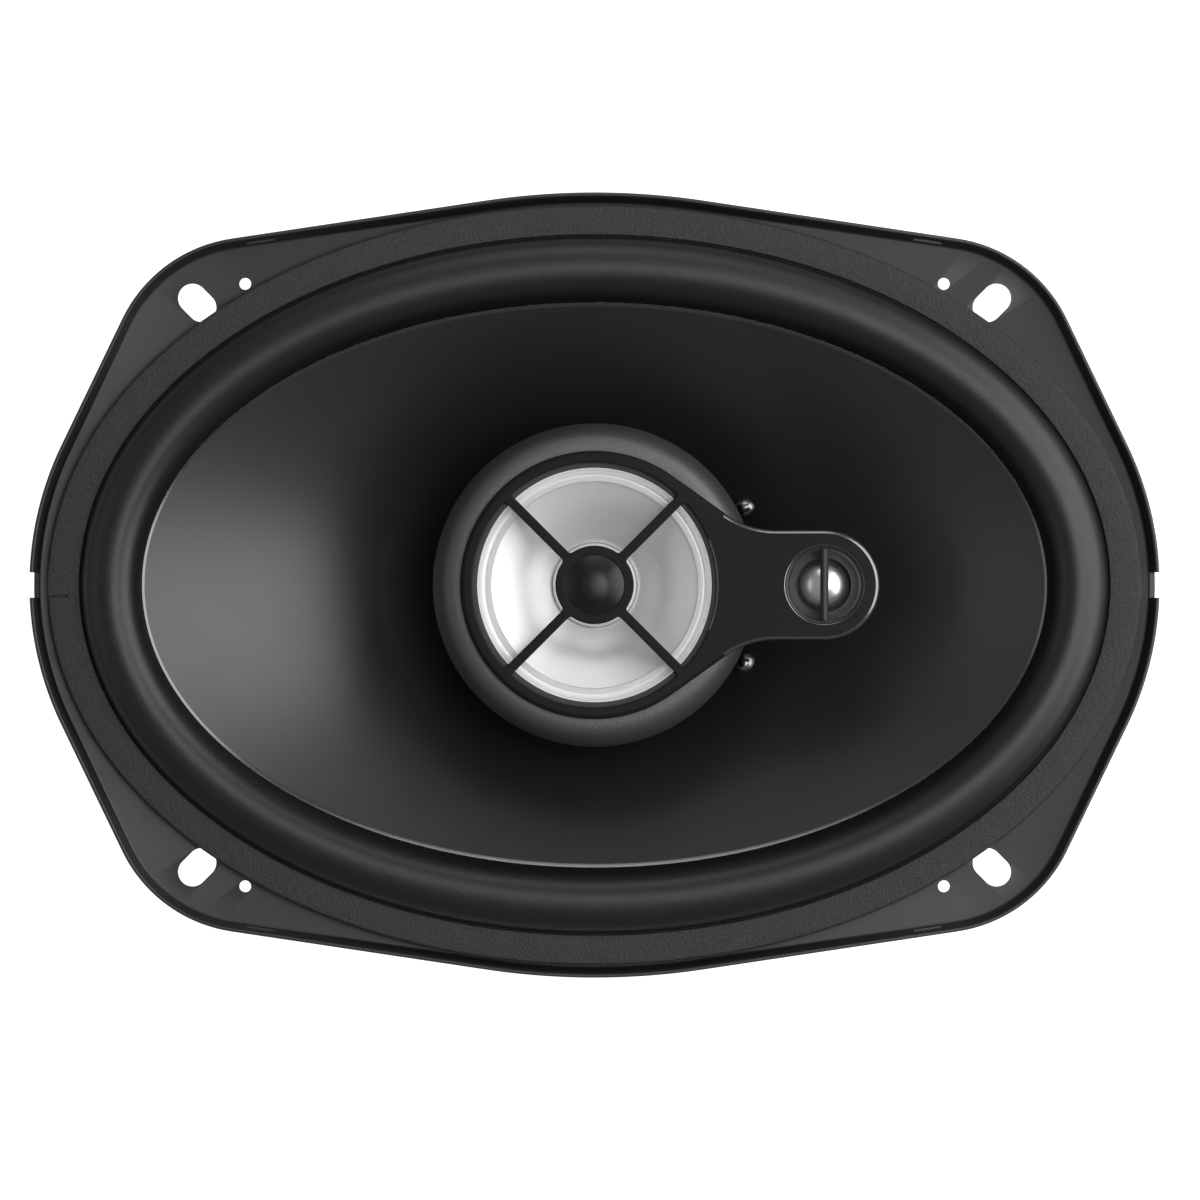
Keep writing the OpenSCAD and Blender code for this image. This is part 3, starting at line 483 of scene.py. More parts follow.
def flange_radius(inset, t):
    """The outline's radius in the directions t, moved inwards by inset."""
    a = np.arctan2(np.abs(np.sin(t)), np.abs(np.cos(t)))
    end_c = (FLANGE_W / 2 - END_R, 0.0)
    long_c = (0.0, FLANGE_H / 2 - LONG_R)
    side_n = shared_tangent(end_c, END_R, CORNER, CORNER_R)
    top_n = shared_tangent(CORNER, CORNER_R, long_c, LONG_R) + TAU
    r1, r2, r3 = END_R - inset, CORNER_R - inset, LONG_R - inset

    def touch(c, r, n):
        return math.atan2(c[1] + r * math.sin(n), c[0] + r * math.cos(n))

    limits = [
        touch(end_c, r1, side_n), touch(CORNER, r2, side_n),
        touch(CORNER, r2, top_n), touch(long_c, r3, top_n),
    ]
    with np.errstate(invalid="ignore"):
        choices = [
            ray_to_circle(end_c, r1, a), ray_to_tangent(end_c, r1, side_n, a),
            ray_to_circle(CORNER, r2, a), ray_to_tangent(long_c, r3, top_n, a),
            ray_to_circle(long_c, r3, a),
        ]
    return np.select([a < limit for limit in limits], choices[:4], choices[4])


def flange_ring(inset, z, n):
    """A level ring on the flange's outline, its points in the directions of the gasket's."""
    guide = oval(*GASKET, z, n)
    t = np.arctan2(guide[:, 1], guide[:, 0])
    r = flange_radius(inset, t)
    return np.stack([r * np.cos(t), r * np.sin(t), guide[:, 2]], axis=1)


# ---------- basket ----------

BASKET_AROUND = 480
SPOKES = 8
WALL_STEPS = 14
WINDOW_IN_R, WINDOW_RX, WINDOW_RY = 51.5, 96.0, 61.5
WINDOW_Z = (-42.5, -11.5)
SPOKE_HALF = 7.5


def spoke_rib(ring, share):
    """Presses a rib into each spoke but the one with the terminals. share runs from 0 at one end of the
    spoke to 1 at the other."""
    rib_h, rib_half, run_in, spread = 1.3, 3.6, 0.12, 0.6
    ends = min(max((share - 0.1) / run_in, 0.0), 1.0) * min(max((0.9 - share) / run_in, 0.0), 1.0)
    angle = np.arctan2(ring[:, 1], ring[:, 0])
    radius = np.hypot(ring[:, 0], ring[:, 1])
    lift = np.zeros(len(ring))
    for k in range(1, SPOKES):
        off = angle - k * TAU / SPOKES
        off = (off + math.pi) % TAU - math.pi
        side = np.abs(radius * np.sin(off))
        near = (np.abs(off) < spread) & (side < rib_half)
        lift = np.where(near, 0.5 * rib_h * (1 + np.cos(math.pi * side / rib_half)), lift)
    made = ring.copy()
    made[:, 2] += lift * ends
    return made


def between(first, last, shape):
    """Rings of the basket's wall between two others, each shaped with its share of the way."""
    shares = [i / (WALL_STEPS + 1) for i in range(1, WALL_STEPS + 1)]
    return [(shape(first + (last - first) * share, share), 0) for share in shares]


def window_outer(t):
    """Radius of the windows' outer edge in the direction t."""
    return 1 / math.sqrt((math.cos(t) / WINDOW_RX) ** 2 + (math.sin(t) / WINDOW_RY) ** 2)


def rounded_outline(points, rounds):
    """Corners cut again and again, which rounds them."""
    points = np.asarray(points, float)
    for _ in range(rounds):
        after = np.roll(points, -1, axis=0)
        pairs = [0.75 * points + 0.25 * after, 0.25 * points + 0.75 * after]
        points = np.stack(pairs, axis=1).reshape(-1, 2)
    return [tuple(p) for p in points]


def window_plan(a1, a2):
    """One window's plan between the spokes in the directions a1 and a2."""
    def beside(a, side, r, off):
        t = a + side * math.asin(off / r)
        return (r * math.cos(t), r * math.sin(t))

    corner, steps = 4.0, 12
    t1 = a1 + math.asin((SPOKE_HALF + corner) / window_outer(a1))
    t2 = a2 - math.asin((SPOKE_HALF + corner) / window_outer(a2))
    outline = [
        beside(a1, 1, WINDOW_IN_R, SPOKE_HALF + corner), beside(a1, 1, WINDOW_IN_R + corner, SPOKE_HALF),
        beside(a1, 1, window_outer(t1) - corner, SPOKE_HALF),
    ]
    for i in range(steps + 1):
        t = t1 + (t2 - t1) * i / steps
        outline.append((window_outer(t) * math.cos(t), window_outer(t) * math.sin(t)))
    outline += [
        beside(a2, -1, window_outer(t2) - corner, SPOKE_HALF),
        beside(a2, -1, WINDOW_IN_R + corner, SPOKE_HALF), beside(a2, -1, WINDOW_IN_R, SPOKE_HALF + corner),
    ]
    for u in (0.8, 0.65, 0.5, 0.35, 0.2):
        t = a1 + (a2 - a1) * u
        outline.append((WINDOW_IN_R * math.cos(t), WINDOW_IN_R * math.sin(t)))
    return rounded_outline(outline, 2)


def circle_outline(cx, cy, r, n=48):
    return [(cx + r * math.cos(TAU * i / n), cy + r * math.sin(TAU * i / n)) for i in range(n)]


def slot_outline(cx, cy, width, pitch, angle):
    """A slot with round ends, its length in the direction angle."""
    n, outline = 24, []
    cos_a, sin_a = math.cos(angle), math.sin(angle)
    for end, start in ((1, -math.pi / 2), (-1, math.pi / 2)):
        for i in range(n + 1):
            t = start + math.pi * i / n
            x, y = end * pitch / 2 + width / 2 * math.cos(t), width / 2 * math.sin(t)
            outline.append((cx + x * cos_a - y * sin_a, cy + x * sin_a + y * cos_a))
    return outline


def box_outline(xs, ys):
    (x0, x1), (y0, y1) = sorted(xs), sorted(ys)
    return [(x0, y0), (x1, y0), (x1, y1), (x0, y1)]


def basket_cutters():
    """Windows, end notches, screw slots, small holes and the slits in the lip."""
    through = (-2.0, 3.0)
    step = TAU / SPOKES
    cutters = [prism(window_plan(k * step, (k + 1) * step), *WINDOW_Z) for k in range(SPOKES)]
    for sx in (-1, 1):
        notch = box_outline((sx * 115.5, sx * 121.5), (-NOTCH_W / 2, NOTCH_W / 2))
        cutters.append(prism(notch, 1.2, LIP_Z + 1.2))
        for sy in (-1, 1):
            slot = slot_outline(sx * SLOT_AT[0], sy * SLOT_AT[1], SLOT_W, SLOT_PITCH, math.atan2(sy, sx))
            pin = circle_outline(sx * PIN_AT[0], sy * PIN_AT[1], PIN_R)
            slit = box_outline((sx * 67.0, sx * 73.0), (sy * 68.35, sy * 78.35))
            cutters += [prism(slot, *through), prism(pin, *through), prism(slit, 1.8, 3.4)]
    return cutters


def make_basket():
    n = BASKET_AROUND

    def ring(rx, ry, z):
        return oval(rx, ry, z, n)

    # The front of the pressing from the lip inwards, then its back outwards
    wall_front = ring(102.0, 67.4, -13.0)
    foot_front = ring(50.0, 50.0, -42.0)
    foot_back = ring(50.9, 50.9, -42.6)
    wall_back = ring(103.0, 68.4, -13.4)
    section = [
        (flange_ring(0.8, LIP_Z, n), 0.25), (flange_ring(1.8, 1.0, n), 0.5), (ring(107.2, 72.6, 1.0), 0.5),
        (ring(105.8, 71.2, -1.0), 1.0), (wall_front, 1.2),
    ]
    section += between(wall_front, foot_front, spoke_rib)
    section += [
        (foot_front, 0.8), (ring(47.5, 47.5, -44.0), 0.8), (ring(40.5, 40.5, -44.0), 0.6),
        (ring(38.5, 38.5, -46.0), 0.8), (ring(36.5, 36.5, -51.0), 0.6), (ring(35.0, 35.0, -52.0), 0.5),
        (ring(24.0, 24.0, -52.0), 0), (ring(24.0, 24.0, -53.0), 0), (ring(35.6, 35.6, -53.0), 0.5),
        (ring(37.5, 37.5, -51.4), 0.8), (ring(39.5, 39.5, -46.4), 0.8), (ring(41.0, 41.0, -45.0), 0.6),
        (ring(47.9, 47.9, -45.0), 0.8), (foot_back, 0.8),
    ]
    section += between(foot_back, wall_back, lambda r, share: spoke_rib(r, 1 - share))
    section += [
        (wall_back, 1.2), (ring(106.8, 72.2, -1.4), 1.0), (ring(107.9, 73.3, 0.0), 0.5),
        (flange_ring(1.0, 0.0, n), 0.5), (flange_ring(0.0, LIP_Z, n), 0.25),
    ]
    mesh = cut(loft("basket_shell", soften(section, 3)), basket_cutters(), "basket_shell")
    place("basket_shell", mesh, "frame", "basket_paint", "basket")


# ---------- soft parts of the woofer ----------

def make_gasket():
    bottom, top = GASKET_Z
    section = [
        (oval(*GASKET, top), 0.6), (oval(*ROLL, top), 0.3),
        (oval(*ROLL, bottom), 0), (oval(*GASKET, bottom), 0.2),
    ]
    seam = prism(box_outline((-116.0, -110.3), (-2.65, -2.15)), top - 0.7, top + 1.0)
    mesh = cut(loft("gasket_ring", soften(section)), [seam], "gasket_ring")
    place("gasket_ring", mesh, "frame", "gasket_foam", "gasket")


def cone_edge_oval(grow, z):
    """A level ring round the cone's edge, grow millimetres outside it."""
    return oval(CONE[0] + grow, CONE[1] + grow, z)


def cone_z(s):
    """The cone's level at the share s of the way from its neck to its edge."""
    return NECK_Z + CONE_DEPTH * s ** 0.85


def cone_ring(s, lift):
    return oval(NECK_R + (CONE[0] - NECK_R) * s, NECK_R + (CONE[1] - NECK_R) * s, cone_z(s) + lift)


def roll_ring(t, out):
    """The roll's ring at angle t of its section, from 0 at its outside to pi at the cone. out moves it off
    the section's middle line."""
    u = (1 - math.cos(t)) / 2
    rx, ry = (roll - ROLL_IN + u * (cone + 1.3 - roll) + out * math.cos(t) for roll, cone in zip(ROLL, CONE))
    return oval(rx, ry, ROLL_OUT_Z + u ** 6 * (ROLL_IN_Z - ROLL_OUT_Z) + (ROLL_H + out) * math.sin(t))


def make_surround():
    """From under the gasket over the roll to the cone's edge, then back underneath."""
    t = 0.8
    under_edge = EDGE_Z - 0.9
    rim = (ROLL[0] + 4.5, ROLL[1] + 4.3)  # the flat part under the gasket
    angles = [math.radians(a) for a in np.linspace(12, 156, 25)]
    rings = [oval(*rim, GASKET_Z[0]), oval(ROLL[0] - 0.2, ROLL[1] - 0.2, GASKET_Z[0])]
    rings += [roll_ring(a, t / 2) for a in angles]
    rings += [
        cone_edge_oval(0.5, under_edge), cone_ring(0.955, -0.9), cone_ring(0.955, -1.7),
        cone_edge_oval(0.6, under_edge - t),
    ]
    rings += [roll_ring(a, -t / 2) for a in reversed(angles)]
    rings += [oval(ROLL[0] - 1.0, ROLL[1] - 1.0, GASKET_Z[0] - t), oval(*rim, GASKET_Z[0] - t)]
    mesh = loft("surround_roll", rings, sharp=60.0)
    weights = roll_weights(mesh)
    place("surround_roll", mesh, "frame", "edge_rubber", "surround", blend=("woofer_cone", weights))


def roll_weights(mesh):
    """0 outside the roll and 1 at the cone, smoothly between."""
    co = points_of(mesh)
    angle = np.arctan2(co[:, 1] / ROLL[1], co[:, 0] / ROLL[0])
    radius = np.hypot(co[:, 0], co[:, 1])
    outer = np.hypot((ROLL[0] - ROLL_IN) * np.cos(angle), (ROLL[1] - ROLL_IN) * np.sin(angle))
    inner = np.hypot((CONE[0] + 0.9) * np.cos(angle), (CONE[1] + 0.9) * np.sin(angle))
    return ease((outer - radius) / (outer - inner))


def radial_weights(mesh, inner, outer, centre_x=0.0):
    """1 inside inner and 0 outside outer, smoothly between."""
    co = points_of(mesh)
    return ease((outer - np.hypot(co[:, 0] - centre_x, co[:, 1])) / (outer - inner))


def make_spider():
    """A corrugated disc from the former to the basket's shelf."""
    t, waves, wave_h, steps = 0.5, 5, 1.3, 80
    first_r, last_r, mid_z = 16.6, 40.0, SHELF_Z + 0.3
    line = [(15.35, mid_z)]
    for i in range(steps + 1):
        r = first_r + (last_r - first_r) * i / steps
        line.append((r, mid_z + wave_h * math.sin(TAU * waves * i / steps)))
    line.append((46.7, mid_z))
    mesh = lathe("spider_disc", sheet_profile(line, t / 2), n=144, sharp=70.0)
    weights = radial_weights(mesh, 17.0, 39.5)
    place("spider_disc", mesh, "frame", "spider_cloth", "spider", blend=("woofer_cone", weights))


# ---------- cone ----------

def make_cone():
    """The front from the edge to the neck, then the back up again."""
    stations = np.linspace(1.0, 0.0, 40)
    thick, neck_h = 0.8, 3
    foot = NECK_Z - neck_h
    rings = [cone_ring(s, 0.0) for s in stations]
    rings += [oval(NECK_BORE_R, NECK_BORE_R, z) for z in (NECK_Z, foot)] + [oval(16.2, 16.2, foot)]
    rings += [cone_ring(s, -thick) for s in stations[::-1][1:]]
    place("cone_body", loft("cone_body", rings, sharp=50.0), "woofer_cone", "cone_poly", "cone")


def make_cone_rim():
    """The cone's edge, turned up a little, its inner face nearly as steep as the cone."""
    section = [
        (cone_edge_oval(-0.35, EDGE_Z - 0.2), 0.05), (cone_edge_oval(0.5, EDGE_Z + 0.3), 0.06),
        (cone_edge_oval(0.6, EDGE_Z - 0.8), 0), (cone_edge_oval(-0.3, EDGE_Z - 0.8), 0),
    ]
    mesh = loft("cone_rim", soften(section), sharp=50.0)
    place("cone_rim", mesh, "woofer_cone", "cone_poly", look="cone_edge")


def make_glue_line():
    """The uneven bead of glue between the cone's edge and the surround."""
    grow, z, radius, rough = 0.82, EDGE_Z - 0.25, 0.24, 0.6
    n, sides = 900, 8
    rng = np.random.default_rng(2)
    t = np.arange(n) * TAU / n
    uneven = 1 + rough * (rng.random(n) - 0.5) * 2
    centre = oval(CONE[0] + grow, CONE[1] + grow, z, n)
    outward = np.stack([np.cos(t) / CONE[0], np.sin(t) / CONE[1], np.zeros(n)], axis=1)
    outward /= np.linalg.norm(outward, axis=1)[:, None]
    up = np.array([0, 0, 1.0])
    rings = []
    for k in range(sides):
        a = TAU * k / sides
        rings.append(centre + radius * uneven[:, None] * (math.cos(a) * outward + math.sin(a) * up))
    mesh = loft("cone_glue_line", rings, sharp=80.0)
    place("cone_glue_line", mesh, "woofer_cone", "joint_glue", look="seam_glue")


# ---------- pod ----------

def make_pod():
    """A bowl below its widest level, and above it a shoulder that is fuller than an ellipse."""
    wall, bore_r, foot_r, mouth_r, fill = 1.6, 4.55, 10.0, 28.2, 0.72
    floor_z, wide_z, top = -22.0, -4.0, PLATE_BACK_Z - 0.05

    def bowl(t):
        return [(foot_r + (POD_R - t - foot_r) * math.sin(u), wide_z - (wide_z - floor_z - t) * math.cos(u))
                for u in np.linspace(0, math.pi / 2, 25)]

    shoulder = []
    for u in np.linspace(0, math.pi / 2, 41)[1:-1]:
        r = mouth_r + (POD_R - mouth_r) * math.cos(u) ** fill
        shoulder.append((r, wide_z + (top - wide_z) * math.sin(u) ** fill))
    profile = [(bore_r, floor_z)] + bowl(0.0) + shoulder
    profile += [(mouth_r, top), (27.1, top), (27.1, 5.2), (30.0, 1.0)]
    profile += bowl(wall)[::-1] + [(bore_r, floor_z + wall)]
    place("pod_shell", lathe("pod_shell", profile, n=180), "frame", "pod_plastic", "pod_housing")


def arc(cx, cy, r, start, end, steps):
    """Points on an arc, its directions in degrees."""
    return [
        (cx + r * math.cos(math.radians(start + (end - start) * i / steps)),
         cy + r * math.sin(math.radians(start + (end - start) * i / steps)))
        for i in range(steps + 1)
    ]


def plate_outline(inset):
    """The ring over the midrange blended into the round-ended arm, moved inwards by inset."""
    tangent = 54.5
    nx, ny = math.cos(math.radians(tangent)), math.sin(math.radians(tangent))
    centre_y = ARM_HALF + ARM_BLEND
    centre_x = (GUARD_R + ARM_BLEND - ny * centre_y) / nx
    upper = arc(TWEETER_X, 0, ARM_HALF - inset, 0, 90, 48)
    upper += arc(centre_x, centre_y, ARM_BLEND + inset, 270, 180 + tangent, 24)
    upper += arc(0, 0, GUARD_R - inset, tangent, 180, 90)
    lower = [(x, -y) for x, y in reversed(upper)]
    return upper + lower[1:-1]


def guard_opening(middle):
    """One of the guard's four openings, centred on the direction middle, its corners rounded."""
    bar_half, corner, steps = 1.0, 0.7, 4
    a_hub = math.degrees(math.asin(bar_half / HUB_R))
    a_hole = math.degrees(math.asin(bar_half / GUARD_HOLE_R))
    inner = arc(0, 0, HUB_R, middle - 45 + a_hub, middle + 45 - a_hub, 24)
    outer = arc(0, 0, GUARD_HOLE_R, middle + 45 - a_hole, middle - 45 + a_hole, 48)
    rings = [np.array([[x, y, 0.0]]) for x, y in inner + outer]
    corners = {0, len(inner) - 1, len(inner), len(rings) - 1}
    made = []
    for i, ring in enumerate(rings):
        if i not in corners:
            near = min(np.linalg.norm(ring - rings[c]) for c in corners)
            if near > corner:
                made.append(tuple(ring[0][:2]))
            continue
        before, after = corner_ends(rings, i, corner)
        for k in range(steps + 1):
            u = k / steps
            p = (1 - u) ** 2 * before + 2 * u * (1 - u) * ring[0] + u * u * after
            made.append(tuple(p[:2]))
    return made


def corner_ends(rings, i, reach):
    """Points at distance reach before and after corner i, along its two sides."""
    here = rings[i][0]
    count = len(rings)
    ends = []
    for step in (-1, 1):
        k = i
        while np.linalg.norm(rings[k % count][0] - here) < reach:
            k += step
        toward = rings[k % count][0] - here
        ends.append(here + toward * reach / np.linalg.norm(toward))
    return ends


def bevelled(piece, width, segments=2, angle=30.0):
    modifier = piece.modifiers.new("edges", "BEVEL")
    modifier.width = width * MM
    modifier.segments = segments
    modifier.limit_method = "ANGLE"
    modifier.angle_limit = math.radians(angle)
    modifier.harden_normals = True
    modifier.use_clamp_overlap = True
    return piece


def make_front_plate():
    levels = [(0.0, PLATE_BACK_Z), (0.0, PLATE_Z - 0.75), (0.3, PLATE_Z - 0.25), (0.8, PLATE_Z)]
    points = [(x, y, z) for inset, z in levels for x, y in plate_outline(inset)]
    n = len(points) // len(levels)
    faces = loft_faces(len(levels), n, False) + end_caps(len(points), n)
    holes = [guard_opening(a) for a in (0, 90, 180, 270)]
    holes += [circle_outline(0, 0, HUB_HOLE_R, 96), circle_outline(TWEETER_X, 0, RECESS_R, 120)]
    cutters = [prism(hole, PLATE_BACK_Z - 1, PLATE_Z + 1) for hole in holes]
    mesh = cut(mesh_from("front_cover", points, faces), cutters, "front_cover", sharp=ALL_SMOOTH)
    piece = bevelled(add_object("front_cover", mesh), 0.3, 4, 60.0)
    mesh = evaluated_mesh(bevelled(piece, 0.08, 2, 20.0), "front_cover")
    place("front_cover", mesh, "frame", "plate_plastic", "front_plate")
    # The arm's edges are polished
    flat, arm_x = 0.985, 24
    mesh.materials.append(LOOKS["plate_edge"])
    for face in mesh.polygons:
        face.material_index = int(face.normal.z < flat and face.center.x > arm_x * MM)


# ---------- midrange ----------

def mid_cone_z(r):
    """The midrange cone's level at radius r."""
    u = (r - MID_NECK_R) / (MID_CONE_R - MID_NECK_R)
    return 7.6 * max(u, 0.0) ** 0.8


def make_midrange():
    radii = np.linspace(MID_NECK_R, MID_CONE_R, 40)
    profile = [(r, mid_cone_z(r) - 0.4) for r in radii] + [(r, mid_cone_z(r)) for r in radii[::-1]]
    mesh = lathe("mid_diaphragm", profile)
    place("mid_diaphragm", mesh, "midrange_cone", "silver_film", "mid_cone")

    # A roll that hangs down, then the flat rim on the chassis
    inner_r, outer_r, steps = 21.65, 24.25, 24
    line = []
    for i in range(steps + 1):
        r = inner_r + (outer_r - inner_r) * i / steps
        line.append((r, 7.8 - 1.1 * math.sin(math.pi * i / steps)))
    line += [(outer_r + 0.1, 8.6), (26.6, 8.6)]
    mesh = lathe("mid_edge", sheet_profile(line, 0.15), sharp=60.0)
    weights = radial_weights(mesh, inner_r, outer_r)
    place("mid_edge", mesh, "frame", "silver_film", "mid_surround", blend=("midrange_cone", weights))

    profile = [
        (6.7, -0.6, 0), (8.85, -0.6, 0), (8.85, 0.2, 0.1), (8.4, 0.9, 0.22), (7.9, 0.3, 0.2),
        (7.4, 0.8, 0.22), (6.7, 0.2, 0.1),
    ]
    mesh = lathe("mid_steps", soften_profile(profile))
    place("mid_steps", mesh, "midrange_cone", "silver_film", "mid_collar")

    r, rise, base, half = 6.6, 1.5, 0.25, 0.45
    outer = []
    for u in np.linspace(0, half, 24):
        outer.append((r * math.sin(u) / math.sin(half),
                      base + rise * (math.cos(u) - math.cos(half)) / (1 - math.cos(half))))
    inner = [(x * 0.94, z - 0.3) for x, z in outer[::-1]]
    place("mid_cap", lathe("mid_cap", outer + inner, n=96), "midrange_cone", "cap_dark", "mid_dust_cap")

    low, high = 8.76, 8.94
    profile = [(r, z, 0.05) for r, z in ((24.5, low), (26.4, low), (26.4, high), (24.5, high))]
    mesh = lathe("mid_seat_ring", soften_profile(profile))
    place("mid_seat_ring", mesh, "frame", "arm_plastic", look="funnel_plastic")


# ---------- tweeter ----------

def make_tweeter():
    """The recess's funnel, the bar across it, and the dome with its edge."""
    wall_r, seat, foot_r = RECESS_R - 0.05, 6.6, DOME_R + 0.25
    profile = [
        (foot_r, seat, 0), (wall_r, seat, 0), (wall_r, PLATE_Z - 0.05, 0.05),
        (wall_r - 0.45, PLATE_Z - 0.28, 0.1), (wall_r - 0.75, 9.8, 0.25), (foot_r, 7.8, 0.3),
    ]
    mesh = lathe("tweeter_funnel", soften_profile(profile), n=120, centre_x=TWEETER_X)
    place("tweeter_funnel", mesh, "frame", "funnel_plastic", "tweeter_faceplate")

    half, length, chamfer = 0.85, wall_r - 0.2, 0.25
    section = [(-half, 9.9), (half, 9.9), (half, 10.5), (0.35, 10.95)]
    section += [(0.0, PLATE_Z), (-0.35, 10.95), (-half, 10.5)]
    stations = [-length, -length + 0.4, length - 0.4, length]
    points = []
    for y in stations:
        drop = chamfer if abs(y) == length else 0.0
        points += [(TWEETER_X + x, y, z - (drop if z > 10 else 0.0)) for x, z in section]
    faces = end_caps(len(points), len(section)) + loft_faces(len(stations), len(section), False)
    mesh = mesh_from("tweeter_bridge", points, faces, sharp=ALL_SMOOTH)
    piece = bevelled(add_object("tweeter_bridge", mesh), 0.08, 2, 12.0)
    place("tweeter_bridge", evaluated_mesh(piece, "tweeter_bridge"), "frame", "funnel_plastic")

    rise, base, thick = 2.8, 6.2, 0.3
    ball = (DOME_R ** 2 + rise ** 2) / (2 * rise)
    ball_z = base + rise - ball
    rim = math.asin(DOME_R / ball)
    profile = [(ball * math.sin(u), ball_z + ball * math.cos(u)) for u in np.linspace(0, rim, 32)]
    for u in np.linspace(rim, 0, 12):
        profile.append(((ball - thick) * math.sin(u), ball_z + (ball - thick) * math.cos(u)))
    mesh = lathe("tweeter_cap", profile, n=120, centre_x=TWEETER_X, sharp=60.0)
    place("tweeter_cap", mesh, "tweeter_diaphragm", "dome_metal", "tweeter_dome")

    inner_r, outer_r, steps = DOME_R + 0.05, RECESS_R - 0.3, 16
    line = []
    for i in range(steps + 1):
        r = inner_r + (outer_r - inner_r) * i / steps
        line.append((r, 6.3 - 0.25 * math.sin(min(i, 8) * math.pi / 8)))
    mesh = lathe("tweeter_edge", sheet_profile(line, 0.1), n=120, centre_x=TWEETER_X, sharp=60.0)
    weights = radial_weights(mesh, inner_r, 0.5 * (inner_r + outer_r), TWEETER_X)
    place("tweeter_edge", mesh, "frame", "dome_edge", "tweeter_surround",
          blend=("tweeter_diaphragm", weights))


# ---------- leads ----------

# From a terminal to the joint under the cone
LEAD_ROUTE = [
    (74.5, 12.4, -25.7), (70.5, 12.6, -25.0), (62.0, 13.4, -28.2), (53.0, 14.4, -32.0), (45.0, 15.4, -33.4),
    (38.0, 16.1, -32.0), (34.0, 16.5, -29.6), (32.4, 16.6, -27.8),
]


def make_leads():
    """Two braided leads, each following the frame at its terminal and the cone at its joint."""
    radius, sides, swell, twist = 0.6, 16, 0.07, 0.9
    first_x, last_x = LEAD_ROUTE[0][0], LEAD_ROUTE[-1][0]
    for pole, side in (("positive", 1), ("negative", -1)):
        name = "lead_braid_" + pole
        path = smooth_path([(x, side * y, z) for x, y, z in LEAD_ROUTE], 10)
        t = np.arange(sides) * TAU / sides
        rings = []
        for i, ring in enumerate(tube_points(path, radius, sides)):
            braid = 1 + swell * np.sin(3 * t + i * twist) * np.sin(3 * t - i * twist)
            rings.append(path[i] + (ring - path[i]) * braid[:, None])
        points = np.concatenate(rings)
        faces = loft_faces(len(rings), sides, False) + end_caps(len(points), sides)
        mesh = mesh_from(name, points, faces, sharp=70.0)
        weights = ease((first_x - points_of(mesh)[:, 0]) / (first_x - last_x))
        place(name, mesh, "frame", "lead_copper", "lead_" + pole, blend=("woofer_cone", weights))


def make_joints():
    """Uneven domes of glossy glue over the two solder joints on the cone."""
    n, radius, share = 48, 2.55, 0.3
    t = np.arange(n) * TAU / n
    parts = []
    for side in (-1, 1):
        angle = math.radians(side * 35.4)
        rx, ry = (NECK_R + (edge - NECK_R) * share for edge in CONE)
        centre = np.array([rx * math.cos(angle), ry * math.sin(angle), cone_z(share) - 0.9])
        rings = []
        for u in np.linspace(0.02, math.pi - 0.02, 28):
            uneven = 1 + 0.03 * np.sin(2 * t + side) * math.sin(u) + 0.02 * np.sin(3 * t + 1.0) * math.sin(u)
            r = radius * uneven
            out = r * math.sin(u)
            rings.append(centre + np.stack([out * np.cos(t), out * np.sin(t), r * math.cos(u)], axis=1))
        points = np.concatenate(rings)
        parts.append((points, loft_faces(len(rings), n, False) + end_caps(len(points), n)))
    mesh = mesh_from("lead_dabs", *joined(parts), sharp=80.0)
    place("lead_dabs", mesh, "woofer_cone", "joint_glue", "lead_joints")


# ---------- carried-over nodes ----------

def dress(node, slot, width):
    """Keeps a node's own shape, its edges eased where width isn't 0, and gives it a material."""
    piece = nodes[node]
    piece.data.materials.clear()
    piece.data.materials.append(LOOKS[slot])
    if "custom_normal" in piece.data.attributes:
        piece.data.attributes.remove(piece.data.attributes["custom_normal"])
    piece.data.shade_smooth()
    weld = piece.modifiers.new("weld", "WELD")
    weld.merge_threshold = 1e-6
    if width:
        flat = piece.modifiers.new("flat", "DECIMATE")
        flat.decimate_type = "DISSOLVE"
        flat.angle_limit = math.radians(0.3)
        bevelled(piece, width)


def dress_all():
    """Every node that has no piece of its own: its slot, then the ease of its edges."""
    for node, slot, width in (
        ("top_plate", "plated_steel", 0.5), ("magnet", "ferrite", 0.9), ("back_plate", "plated_steel", 0.6),
        ("stake_rivets", "rivet_steel", 0.25), ("terminal_strip", "strip_board", 0.12),
        ("terminal_positive", "tab_brass", 0.15), ("terminal_negative", "tab_brass", 0.15),
        ("terminal_rivets", "rivet_steel", 0.15), ("centre_post", "post_plastic", 0.3),
        ("post_nut", "rivet_steel", 0.25), ("tweeter_arm", "arm_plastic", 0.35),
        ("mid_frame", "mid_steel", 0.15), ("mid_pot", "mid_steel", 0.3), ("mid_magnet", "small_magnet", 0.25),
        ("mid_pole_plate", "mid_steel", 0.15), ("mid_capacitor", "capacitor_sleeve", 0.5),
        ("tweeter_capacitor", "capacitor_sleeve", 0.5), ("tweeter_pot", "mid_steel", 0.15),
        ("tweeter_magnet", "small_magnet", 0.15), ("tweeter_pole_plate", "mid_steel", 0.1),
        ("former", "former_paper", 0.05), ("voice_coil", "coil_copper", 0.15),
        ("mid_former", "former_paper", 0.03), ("mid_coil", "coil_copper", 0.1),
        ("tweeter_coil", "coil_copper", 0.08),
        ("pod_wires", "wire_red", 0), ("coil_leads", "lead_copper", 0),
    ):
        dress(node, slot, width)


# ---------- stage ----------

